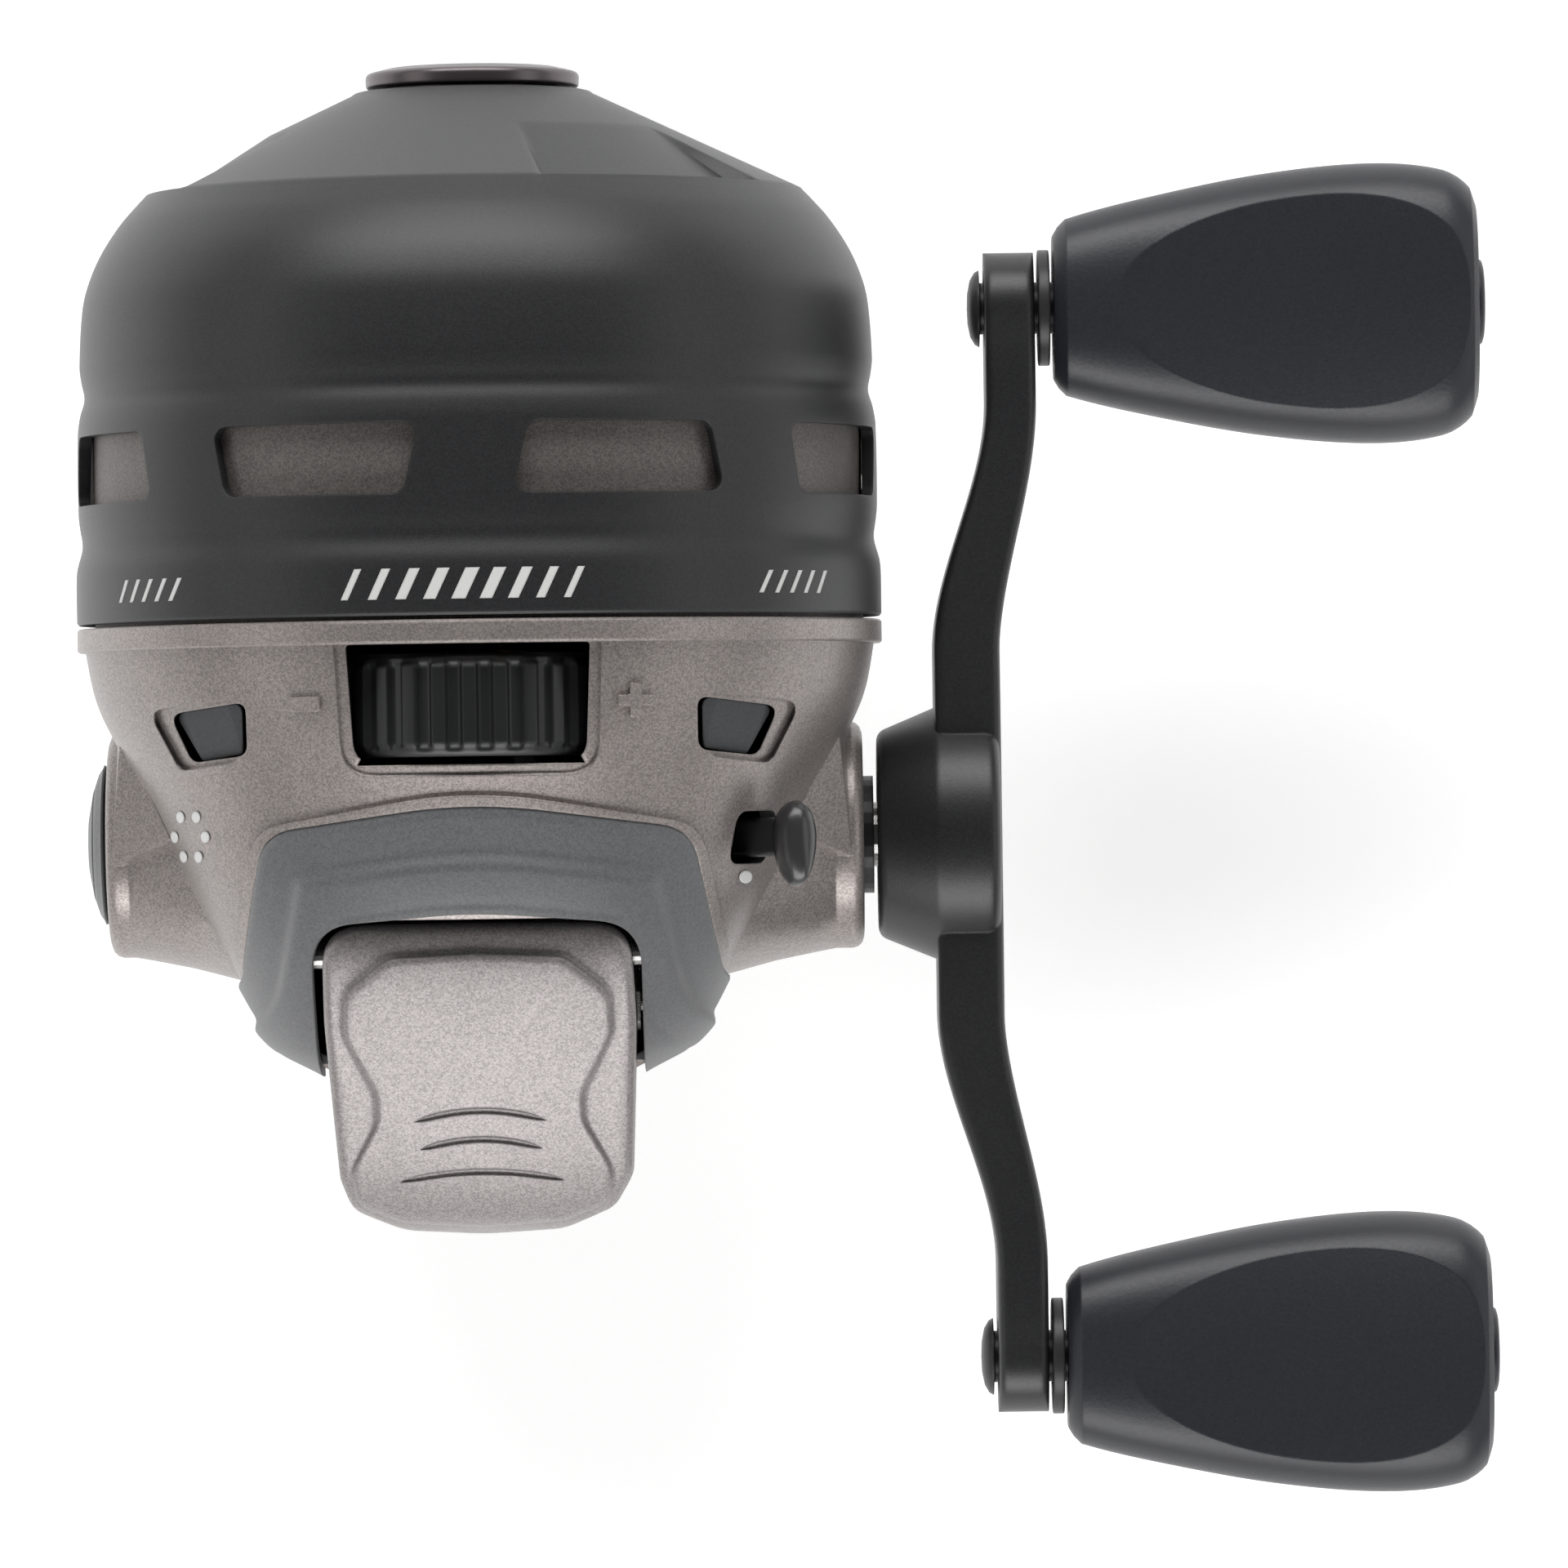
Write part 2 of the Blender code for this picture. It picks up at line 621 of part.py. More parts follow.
def build_front_cover():
    """The turned cover with finger scoops on its cone and a ring of windows."""
    wall = COVER_WALL
    outer = [
        (NOSE_HOLE_R, COVER_NOSE_Y),
        (NOSE_HOLE_R + 2.0 * MM, COVER_NOSE_Y),
        (COVER_RIDGE_R, COVER_RIDGE_Y),
        (COVER_RIDGE_R + 1.6 * MM, COVER_RIDGE_Y - 1.8 * MM),
        (COVER_R - 1.1 * MM, COVER_RIDGE_Y - 7.0 * MM),
        (COVER_R - 0.7 * MM, COVER_RIDGE_Y - 8.9 * MM),
        (COVER_R - 0.45 * MM, COVER_RIDGE_Y - 13.0 * MM),
        (COVER_R - 0.8 * MM, COVER_RIDGE_Y - 15.5 * MM),
        (COVER_R - 0.25 * MM, COVER_RIDGE_Y - 18.0 * MM),
        (COVER_R - 0.25 * MM, COVER_RIDGE_Y - 24.3 * MM),
        (COVER_R - 0.5 * MM, COVER_RIDGE_Y - 26.9 * MM),
        (COVER_R, COVER_RIDGE_Y - 29.4 * MM),
        (COVER_R, COVER_REAR_Y),
    ]
    inner = [
        (COVER_R - wall, COVER_REAR_Y),
        (COVER_R - wall - 0.2 * MM, COVER_RIDGE_Y - 10.0 * MM),
        (COVER_RIDGE_R + 1.0 * MM, COVER_RIDGE_Y - 4.6 * MM),
        (COVER_RIDGE_R - 2.0 * MM, COVER_RIDGE_Y - 1.9 * MM),
        (NOSE_HOLE_R, COVER_NOSE_Y - 1.5 * MM),
    ]
    cover = turned("front_cover", "soft_black", outer + inner, (0, 0, REEL_Z), steps=44)
    for middle in SCOOP_ANGLES:
        cut(cover, scoop(middle))
    for i in range(WINDOW_COUNT):
        cut(cover, cover_window(i))
    return cover


def scoop(middle):
    """A wedge that is flush with the cone towards the nose and deepest at the ridge."""
    slope = (COVER_RIDGE_Y - COVER_NOSE_Y) / (COVER_RIDGE_R - NOSE_HOLE_R - 2.0 * MM)
    start_r = COVER_RIDGE_R - 9.4 * MM
    start_y = COVER_RIDGE_Y - slope * 9.4 * MM
    end_r = COVER_RIDGE_R - 0.5 * MM
    end_y = COVER_RIDGE_Y - slope * 0.5 * MM
    lean = atan2(-slope, 1.0)
    deep_r = end_r - SCOOP_DEPTH * sin(lean)
    deep_y = end_y - SCOOP_DEPTH * cos(lean)
    profile = [(start_r, start_y), (start_r + 2 * MM, start_y + 4 * MM),
               (end_r + 1.2 * MM, end_y + 4 * MM), (deep_r, deep_y)]
    return sector("scoop", profile, middle, SCOOP_SPAN, 6)


def cover_window(i):
    wide_front = i % 2 == 1
    front = WINDOW_WIDE if wide_front else WINDOW_NARROW
    rear = WINDOW_NARROW if wide_front else WINDOW_WIDE
    half = WINDOW_LENGTH / 2
    outline = rounded([(-front / 2, half), (front / 2, half), (rear / 2, -half),
                       (-rear / 2, -half)], 1.1 * MM, 2)
    angle = 2 * pi * (i + 0.5) / WINDOW_COUNT
    at = Vector((sin(angle), 0, cos(angle))) * COVER_R
    at += Vector((0, WINDOW_Y, REEL_Z))
    return flat("cover_window", None, [outline], 10 * MM, at, (0, angle, 0))


def build_nose_ring():
    neck = NOSE_HOLE_R - GAP
    front = COVER_NOSE_Y + GAP + RING_LENGTH
    profile = [
        (RING_HOLE_R, COVER_NOSE_Y - 2.6 * MM),
        (RING_HOLE_R, front - 1.1 * MM),
        (RING_HOLE_R + 0.6 * MM, front - 0.3 * MM),
        (RING_HOLE_R + 1.7 * MM, front),
        (RING_R - 1.6 * MM, front),
        (RING_R - 0.5 * MM, front - 0.35 * MM),
        (RING_R, front - 0.9 * MM),
        (RING_R - 0.15 * MM, COVER_NOSE_Y + GAP),
        (neck, COVER_NOSE_Y + GAP),
        (neck, COVER_NOSE_Y - 2.6 * MM),
    ]
    return turned("nose_ring", "gunmetal", profile, (0, 0, REEL_Z), steps=28)


def build_vent_inserts():
    for side, name in ((1, "vent_insert_right"), (-1, "vent_insert_left")):
        insert = loft(name, "soft_grey", housing_rings(0.8 * MM, FLANGE_Y))
        inside = loft("insert_inside", None, housing_rings(1.7 * MM, FLANGE_Y + 1 * MM))
        cut(insert, inside)
        trim(insert, vent_prism("insert_outline", side, 0.12, 30 * MM))


def build_foot():
    """The foot that the rod's seat clamps, with a pad that carries the housing."""
    half = FOOT_LENGTH / 2
    side_outline = [(-half, 0), (half, 0), (half, FOOT_TIP_THICK), (half * 0.55, FOOT_THICK),
                    (PEDESTAL_LENGTH / 2, FOOT_THICK), (PEDESTAL_LENGTH / 2 - 0.8 * MM,
                                                        FOOT_PAD_TOP),
                    (-PEDESTAL_LENGTH / 2 + 0.8 * MM, FOOT_PAD_TOP),
                    (-PEDESTAL_LENGTH / 2, FOOT_THICK), (-half * 0.55, FOOT_THICK),
                    (-half, FOOT_TIP_THICK)]
    width = FOOT_WIDTH / 2 + 1 * MM
    foot = loft("reel_foot", "titanium_paint",
                [[(x, y, z) for y, z in side_outline] for x in (-width, width)])
    half_width = FOOT_WIDTH / 2
    corners = [(-half_width, -half), (half_width, -half), (half_width, half),
               (-half_width, half)]
    plan = flat("foot_plan", None, [rounded(corners, 4.5 * MM, 4)], 2 * FOOT_PAD_TOP + 2 * MM)
    trim(foot, plan)
    pad_side = (FOOT_WIDTH - PEDESTAL_WIDTH) / 2 + 1 * MM
    for side in (1, -1):
        at = (side * (PEDESTAL_WIDTH / 2 + pad_side / 2), 0, FOOT_THICK + 5 * MM)
        cut(foot, box("pad_side", None, (pad_side, FOOT_LENGTH, 10 * MM), at))
    for y in (-FOOT_SCREW_Y, FOOT_SCREW_Y):
        profile = [(0, -1 * MM), (FOOT_SCREW_HEAD_R + GAP, -1 * MM),
                   (FOOT_SCREW_HEAD_R + GAP, 1.9 * MM), (FOOT_SCREW_R + GAP, 2.4 * MM),
                   (FOOT_SCREW_R + GAP, 8 * MM), (0, 8 * MM)]
        cut(foot, turned("foot_hole", None, profile, (0, y, 0), ALONG_Z, 20))
    for name, y in (("foot_screw_rear", -FOOT_SCREW_Y), ("foot_screw_front", FOOT_SCREW_Y)):
        profile = [(0, 0.3 * MM), (FOOT_SCREW_HEAD_R, 0.3 * MM), (FOOT_SCREW_HEAD_R, 1.6 * MM),
                   (FOOT_SCREW_R, 2.1 * MM), (FOOT_SCREW_R, 11 * MM), (0, 11 * MM)]
        turned(name, "steel", profile, (0, y, 0), ALONG_Z, 20)


# ---------------------------------------------------------------- deck, spool, spinner

def build_deck():
    rim = COLLAR_R - COLLAR_WALL - GAP
    rear = FLANGE_Y + 0.2 * MM
    front = rear + DECK_THICK
    pocket = PINION_BEARING_R + GAP
    bore = PINION_JOURNAL_R + 0.4 * MM
    profile = [(pocket, rear), (rim, rear), (rim, front), (HUB_R, front), (HUB_R, HUB_FRONT_Y),
               (bore, HUB_FRONT_Y), (bore, rear + 3.9 * MM), (pocket, rear + 3.9 * MM)]
    deck = turned("deck_plate", "zinc", profile, (0, 0, REEL_Z), steps=32)
    cut(deck, rod("drag_hole", None, DRAG_SCREW_R + GAP, rear - 1 * MM, front + 1 * MM,
                  (0, 0, DIAL_Z), ALONG_Y, 20))
    tube("pinion_bearing", "steel", PINION_BEARING_R, PINION_JOURNAL_R + GAP, rear,
         rear + 3.5 * MM, (0, 0, REEL_Z), steps=28)
    return deck


def build_spool(pivot):
    rear = SPOOL_REAR_Y
    front = rear + SPOOL_LENGTH
    bore = HUB_R + GAP
    profile = [(bore, rear), (SPOOL_R, rear), (SPOOL_R, rear + SPOOL_FLANGE),
               (SPOOL_ARBOR_R, rear + SPOOL_FLANGE), (SPOOL_ARBOR_R, front - SPOOL_FLANGE),
               (SPOOL_R, front - SPOOL_FLANGE), (SPOOL_R, front), (bore, front)]
    hang(turned("spool", "aluminium", profile, (0, 0, REEL_Z), steps=32), pivot)
    tube("spool_retainer", "steel", HUB_R + 2.2 * MM, HUB_R + GAP, front + GAP,
         front + 1.1 * MM, (0, 0, REEL_Z), steps=28)


def build_rotor(pivot):
    shaft_front = SPINNER_FRONT_Y + 2.9 * MM
    shaft = rod("center_shaft", "steel", SHAFT_R, SHAFT_REAR_Y, shaft_front, (0, 0, REEL_Z),
                steps=16)
    bore = SHAFT_R + GAP
    inner = SPINNER_R - SPINNER_WALL
    front = SPINNER_FRONT_Y
    profile = [
        (SPINNER_R, SPINNER_REAR_Y),
        (SPINNER_R, front - 2.2 * MM),
        (SPINNER_R - 0.7 * MM, front - 0.7 * MM),
        (SPINNER_R - 2.4 * MM, front),
        (bore, front),
        (bore, front - 4 * MM),
        (bore + 2.6 * MM, front - 4 * MM),
        (bore + 2.6 * MM, front - 1.4 * MM),
        (inner - 2.0 * MM, front - 1.4 * MM),
        (inner, front - 3.2 * MM),
        (inner, SPINNER_REAR_Y),
    ]
    head = turned("spinner_head", "aluminium", profile, (0, 0, REEL_Z), steps=32)
    boss = box("pin_boss", None, (4.4 * MM, 4.3 * MM, 7.5 * MM),
               (0, PICKUP_PIN_Y + 0.2 * MM, REEL_Z + inner - 3.3 * MM))
    fuse(head, boss)
    cut(head, rod("pin_bore", None, PICKUP_PIN_R + GAP, inner - 9 * MM, SPINNER_R + 2 * MM,
                  (0, PICKUP_PIN_Y, REEL_Z), ALONG_Z, 16))
    nut = turned("spinner_nut", "brass",
                 [(bore, front + GAP), (3.4 * MM, front + GAP), (3.4 * MM, front + 2.5 * MM),
                  (bore, front + 2.5 * MM)], (0, 0, REEL_Z), steps=6)
    for obj in (shaft, head, nut):
        hang(obj, pivot)


def build_pickup_pin(pivot):
    tip = SPINNER_R + 1.5 * MM
    profile = [(0, tip - 9 * MM), (PICKUP_PIN_R, tip - 9 * MM), (PICKUP_PIN_R, tip - 0.4 * MM),
               (PICKUP_PIN_R * 0.5, tip), (0, tip)]
    hang(turned("pickup_pin", "steel", profile, (0, PICKUP_PIN_Y, REEL_Z), ALONG_Z, 16), pivot)


def build_shaft_seat(pivot):
    """The cup at the shaft's rear end, which the spring pushes back and the button forward."""
    front = SEAT_REAR_Y + SEAT_LENGTH
    bore = SHAFT_R + GAP
    floor = SHAFT_REAR_Y - GAP
    profile = [(0, SEAT_REAR_Y), (SEAT_R, SEAT_REAR_Y), (SEAT_R, front), (bore, front),
               (bore, floor), (0, floor)]
    hang(turned("shaft_seat", "steel", profile, (0, 0, REEL_Z), steps=24), pivot)
    start = front + SPRING_WIRE_R + 0.1 * MM
    end = GUIDE_Y - GUIDE_THICK / 2 - SPRING_WIRE_R - 0.1 * MM
    hang(coil("shaft_return_spring", start, end), pivot)


def coil(name, start, end, per_turn=8):
    """A compression spring round the centre shaft, as a helix of straight chords."""
    curve = bpy.data.curves.new(name, "CURVE")
    curve.dimensions = "3D"
    curve.bevel_depth = SPRING_WIRE_R
    curve.bevel_resolution = 1
    curve.use_fill_caps = True
    spline = curve.splines.new("POLY")
    count = SPRING_TURNS * per_turn
    spline.points.add(count)
    for i, point in enumerate(spline.points):
        a = 2 * pi * i / per_turn
        y = start + (end - start) * i / count
        point.co = (SPRING_R * cos(a), y, SPRING_R * sin(a), 1.0)
    source = bpy.data.objects.new(name + "_path", curve)
    PARTS.objects.link(source)
    bpy.context.view_layer.update()
    evaluated = source.evaluated_get(bpy.context.evaluated_depsgraph_get())
    mesh = bpy.data.meshes.new_from_object(evaluated)
    bpy.data.objects.remove(source)
    bm = bmesh.new()
    bm.from_mesh(mesh)
    bmesh.ops.remove_doubles(bm, verts=bm.verts, dist=0.000001)
    bmesh.ops.recalc_face_normals(bm, faces=bm.faces)
    bm.to_mesh(mesh)
    bm.free()
    return add_object(name, mesh, "steel", (0, 0, REEL_Z))


# ---------------------------------------------------------------- gear pair

def mesh_angle():
    """The tilt of the face gear's teeth where they meet the pinion, set by the shaft offset."""
    return asin(CRANK_DROP / GEAR_PITCH_R)


def pinion_pitch_r():
    """The pinion radius whose helical teeth share the face gear's normal pitch."""
    normal_pitch = 2 * pi * GEAR_PITCH_R / GEAR_TEETH
    return normal_pitch * PINION_TEETH / (2 * pi * cos(mesh_angle()))


def tooth_half(height):
    """Half a tooth's thickness at a height above the pitch line."""
    return TOOTH_THICK / 2 - height * tan(TOOTH_FLANK)


def build_drive_gear(pivot):
    """A face gear: radial teeth on a rim, with a dished web and a hub."""
    tip_x = pinion_pitch_r() - TOOTH_ADDENDUM
    root_x = pinion_pitch_r() + TOOTH_DEDENDUM
    inner = GEAR_PITCH_R - GEAR_FACE_WIDTH / 2
    outer = GEAR_PITCH_R + GEAR_FACE_WIDTH / 2
    phase = mesh_angle() + pi / GEAR_TEETH
    heights = (-TOOTH_DEDENDUM, TOOTH_ADDENDUM, TOOTH_ADDENDUM, -TOOTH_DEDENDUM)
    sides = (-1, -1, 1, 1)

    def ring(radius, toothed, x_flat=0.0):
        points = []
        for k in range(GEAR_TEETH):
            middle = phase + 2 * pi * k / GEAR_TEETH
            for height, side in zip(heights, sides):
                a = middle + side * tooth_half(height) / radius
                x = (tip_x if height > 0 else root_x) if toothed else x_flat
                points.append((x, radius * cos(a), radius * sin(a)))
        return points

    back = root_x + GEAR_RIM
    rings = [ring(inner, False, back), ring(inner, True), ring(outer, True),
             ring(outer, False, back)]
    gear = loft("drive_gear", "zinc", rings, loop=True, at=(0, 0, CRANK_Z))
    bore = CRANK_SHAFT_R + GAP
    web = turned("gear_web", None,
                 [(bore, root_x - 0.3 * MM), (4.4 * MM, root_x - 0.3 * MM),
                  (4.4 * MM, root_x + 0.9 * MM), (inner + 0.6 * MM, root_x + 0.9 * MM),
                  (inner + 0.6 * MM, back - 0.3 * MM), (4.4 * MM, back - 0.3 * MM),
                  (4.4 * MM, RATCHET_X - RATCHET_THICK / 2 - GAP),
                  (bore, RATCHET_X - RATCHET_THICK / 2 - GAP)],
                 (0, 0, CRANK_Z), ALONG_X, 28)
    fuse(gear, web)
    hang(gear, pivot)


def build_pinion(pivot):
    """The helical pinion with its journal, bored for the sliding centre shaft."""
    pitch_r = pinion_pitch_r()
    lean = tan(mesh_angle())
    mesh_y = sqrt(GEAR_PITCH_R ** 2 - CRANK_DROP ** 2)
    heights = (-TOOTH_DEDENDUM, TOOTH_ADDENDUM, TOOTH_ADDENDUM, -TOOTH_DEDENDUM)
    sides = (-1, -1, 1, 1)
    per_tooth = len(sides)
    slices = 8

    def toothed(y):
        points = []
        for k in range(PINION_TEETH):
            middle = 2 * pi * k / PINION_TEETH + (y - mesh_y) * lean / pitch_r
            for height, side in zip(heights, sides):
                radius = pitch_r + height
                half = tooth_half(height) / cos(mesh_angle())
                a = middle + side * half / radius
                points.append((radius * cos(a), y, radius * sin(a)))
        return points

    def plain(radius, y):
        count = PINION_TEETH * per_tooth
        turn_on = (y - mesh_y) * lean / pitch_r if y < teeth_end + 1e-6 else last_turn
        points = []
        for k in range(count):
            a = 2 * pi * (k - 1.5) / count + turn_on
            points.append((radius * cos(a), y, radius * sin(a)))
        return points

    teeth_end = PINION_REAR_Y + PINION_TOOTHED
    last_turn = (teeth_end - mesh_y) * lean / pitch_r
    front = FLANGE_Y + 0.2 * MM + 3.7 * MM
    bore = SHAFT_R + GAP
    rings = []
    for i in range(slices + 1):
        rings.append(toothed(PINION_REAR_Y + PINION_TOOTHED * i / slices))
    journal = min(PINION_JOURNAL_R, pitch_r - TOOTH_DEDENDUM)
    rings.append(plain(journal, teeth_end + 0.1 * MM))
    rings.append(plain(PINION_JOURNAL_R, teeth_end + 0.3 * MM))
    rings.append(plain(PINION_JOURNAL_R, front))
    rings.append(plain(bore, front))
    rings.append(plain(bore, PINION_REAR_Y))
    pinion = loft("pinion", "brass", rings, loop=True, at=(0, 0, REEL_Z))
    hang(pinion, pivot)


# ---------------------------------------------------------------- crank train

def build_crank(pivot):
    """The crank shaft with its collar, bearings, ratchet and end cap."""
    at = (0, 0, CRANK_Z)
    left_end = -BOSS_LEFT_X + 2.4 * MM
    shaft = rod("crank_shaft", "steel", CRANK_SHAFT_R, left_end, ARM_X + 2.2 * MM, at, ALONG_X)
    cut(shaft, rod("screw_bore", None, 1.5 * MM, ARM_X - 3.5 * MM, ARM_X + 3 * MM, at,
                   ALONG_X, 16))
    hang(shaft, pivot)
    bore = CRANK_SHAFT_R + GAP
    bearing_right = BOSS_RIGHT_X - 3.6 * MM
    tube("crank_bearing_right", "steel", CRANK_BEARING_R, bore,
         bearing_right - CRANK_BEARING_LENGTH, bearing_right, at, ALONG_X, 20)
    bearing_left = -BOSS_LEFT_X + 2.4 * MM
    tube("crank_bearing_left", "steel", CRANK_BEARING_R, bore, bearing_left,
         bearing_left + CRANK_BEARING_LENGTH, at, ALONG_X, 20)
    collar = tube("shaft_collar", "gloss_black", COLLAR_RING_R, bore, bearing_right + GAP,
                  ARM_HUB_X - GAP, at, ALONG_X, 32)
    hang(collar, pivot)
    dome = BOSS_LEFT_X + GAP
    profile = [(0, -dome + 2.2 * MM), (CRANK_BEARING_R, -dome + 2.2 * MM),
               (CRANK_BEARING_R, -dome), (CAP_R, -dome), (CAP_R - 0.2 * MM, -dome - 0.5 * MM),
               (CAP_R - 1.2 * MM, -dome - 1.1 * MM), (CAP_R - 3.2 * MM, -dome - 1.4 * MM),
               (0, -dome - 1.5 * MM)]
    turned("side_cap", "soft_grey", profile, at, ALONG_X, 32)
    hang(ratchet(at, bore), pivot)


def ratchet(at, bore):
    """A saw-toothed wheel that the pawl holds against turning backwards."""
    outline = []
    for k in range(RATCHET_TEETH):
        a = 2 * pi * k / RATCHET_TEETH + RATCHET_PHASE
        step = 2 * pi / RATCHET_TEETH
        outline.append((RATCHET_R * cos(a), RATCHET_R * sin(a)))
        root = RATCHET_R - RATCHET_DEPTH
        outline.append((root * cos(a + 0.12 * step), root * sin(a + 0.12 * step)))
    wheel = flat("ratchet_wheel", "steel", [outline, circle(bore, 24)], RATCHET_THICK,
                 (RATCHET_X, at[1], at[2]), (pi / 2, 0, pi / 2))
    return wheel


def build_pawl(pivot):
    """The pawl, held clear of the ratchet while the lever is off."""
    toe = (9.6 * MM, -2.2 * MM)
    outline = [(-PAWL_R, 0), (-PAWL_R * 0.7, -PAWL_R * 0.7), (0, -PAWL_R),
               (toe[0] - 2.0 * MM, toe[1] - 0.1 * MM), toe, (toe[0] - 0.6 * MM, toe[1] + 1.5 * MM),
               (0.8 * MM, PAWL_R), (-PAWL_R * 0.7, PAWL_R * 0.7)]
    hole = circle(PAWL_PIN_R + GAP, 12)
    pawl = flat("anti_reverse_pawl", "steel", [outline, hole], RATCHET_THICK - 0.4 * MM,
                (RATCHET_X, PAWL_Y, PAWL_Z), (pi / 2, 0, pi / 2))
    hang(pawl, pivot)
    rod("pawl_pin", "steel", PAWL_PIN_R, RATCHET_X - 2 * MM, RATCHET_X + 3.6 * MM,
        (0, PAWL_Y, PAWL_Z), ALONG_X, 12)


def build_lever(pivot):
    """The anti-reverse lever: a teardrop knob on a stem that pivots inside the housing."""
    pivot_at = Vector((LEVER_X, 0, LEVER_Z))
    turn = (0, LEVER_LEAN, 0)
    frame = Matrix.Rotation(LEVER_LEAN, 4, "Y")
    hub = rod("anti_reverse_lever", "gloss_black", 1.5 * MM, -1.5 * MM, 1.5 * MM,
              tuple(pivot_at), ALONG_Y, 20)
    stem_at = pivot_at + frame @ Vector((0, 0, LEVER_REACH / 2))
    stem = box("lever_stem", None, (1.8 * MM, 3.0 * MM, LEVER_REACH), stem_at, turn)
    fuse(hub, stem)
    rings = []
    for rise, half_x, half_y in ((-1.6, 1.0, 2.2), (-0.9, 1.7, 3.0), (0.4, 1.8, 3.2),
                                 (1.3, 1.3, 2.6), (1.7, 0.6, 1.6)):
        ring = []
        for i in range(20):
            a = 2 * pi * i / 20
            taper = 1.0 - 0.25 * (0.5 - 0.5 * sin(a))
            ring.append((half_x * MM * cos(a) * taper, half_y * MM * sin(a), rise * MM))
        rings.append(ring)
    knob_at = pivot_at + frame @ Vector((0, -0.5 * MM, LEVER_REACH))
    knob = loft("lever_knob", None, rings, at=knob_at, turn=turn)
    fuse(hub, knob)
    hang(hub, pivot)


# ---------------------------------------------------------------- handle

def build_handle(pivot):
    """The double handle arm: a stepped bar with a round hub and two riveted knob pins."""
    end_x = ARM_X + ARM_THICK - ARM_END_THICK + ARM_OFFSET - 0.9 * MM
    inner = [(ARM_X, 0), (ARM_X, ARM_STRAIGHT), (end_x, ARM_STRAIGHT + 12 * MM),
             (end_x, ARM_REACH + ARM_END_R + 1 * MM)]
    outer = [(end_x + ARM_END_THICK, ARM_REACH + ARM_END_R + 1 * MM),
             (end_x + ARM_END_THICK, ARM_STRAIGHT + 10 * MM),
             (ARM_X + ARM_THICK, ARM_STRAIGHT - 2 * MM), (ARM_X + ARM_THICK, 0)]
    half = inner + outer
    mirrored = [(x, -y) for x, y in reversed(half[1:-1])]
    arm = flat("handle_arm", "arm_black", [half + mirrored], 30 * MM, (0, 0, CRANK_Z))
    end = circle(ARM_END_R, 12, (ARM_REACH, 0))
    lobe = [p for p in end if p[0] >= ARM_REACH - 0.1 * MM]
    lobe.sort(key=lambda p: p[1])
    waist = ARM_END_R + 0.2 * MM
    front = [(HUB_LARGE_R, -ARM_HALF_WIDTH), (ARM_REACH - 12 * MM, -waist)] + lobe
    front += [(ARM_REACH - 12 * MM, waist), (HUB_LARGE_R, ARM_HALF_WIDTH)]
    back = [(-x, -z) for x, z in front]
    plan = flat("arm_front_view", None, [front + back], 60 * MM, (ARM_X, 0, CRANK_Z),
                (pi / 2, 0, pi / 2))
    trim(arm, plan)
    bevel(arm, 0.45 * MM, 1, 30.0)
    hub = turned("arm_hub", None,
                 [(0, ARM_HUB_X), (HUB_SMALL_R - 0.5 * MM, ARM_HUB_X),
                  (HUB_SMALL_R, ARM_HUB_X + 0.6 * MM), (HUB_LARGE_R, ARM_X),
                  (HUB_LARGE_R, ARM_X + ARM_THICK - 0.8 * MM),
                  (HUB_LARGE_R - 0.7 * MM, ARM_X + ARM_THICK), (0, ARM_X + ARM_THICK)],
                 (0, 0, CRANK_Z), ALONG_X, 32)
    fuse(arm, hub)
    at = (0, 0, CRANK_Z)
    bore = [(0, ARM_HUB_X - 1 * MM), (CRANK_SHAFT_R + GAP, ARM_HUB_X - 1 * MM),
            (CRANK_SHAFT_R + GAP, ARM_X + 2.2 * MM + GAP), (3.9 * MM, ARM_X + 2.2 * MM + GAP),
            (3.9 * MM, ARM_X + ARM_THICK + 1 * MM), (0, ARM_X + ARM_THICK + 1 * MM)]
    cut(arm, turned("arm_bore", None, bore, at, ALONG_X, 28))
    for side in (1, -1):
        cut(arm, rod("pin_bore", None, KNOB_PIN_R + GAP, end_x - 4 * MM, end_x + 8 * MM,
                     (0, side * ARM_REACH, CRANK_Z), ALONG_X, 20))
    hang(arm, pivot)
    head = ARM_X + 2.2 * MM + 2 * GAP
    screw = [(0, ARM_X - 3 * MM), (1.2 * MM, ARM_X - 3 * MM), (1.2 * MM, head), (3.6 * MM, head),
             (3.6 * MM, head + 1.4 * MM), (2.6 * MM, head + 2.0 * MM), (0, head + 2.0 * MM)]
    hang(turned("handle_screw", "steel", screw, at, ALONG_X, 24), pivot)
    return end_x


def knob_rings(start):
    """Sections of a paddle knob from the arm outwards."""
    table = ((0.0, 0.55, 0.72), (0.03, 0.62, 0.80), (0.25, 0.77, 0.86), (0.5, 0.92, 0.95),
             (0.75, 1.0, 1.0), (0.92, 0.93, 0.95), (0.985, 0.84, 0.84), (1.0, 0.78, 0.74))
    rings = []
    for share, wide, thick in table:
        ring = []
        for i in range(22):
            a = 2 * pi * i / 22
            c, s = cos(a), sin(a)
            y = KNOB_HALF_WIDTH * wide * abs(c) ** 0.85 * (1 if c >= 0 else -1)
            z = KNOB_HALF_THICK * thick * abs(s) ** 0.85 * (1 if s >= 0 else -1)
            ring.append((start + KNOB_LENGTH * share, y, z))
        rings.append(ring)
    return rings


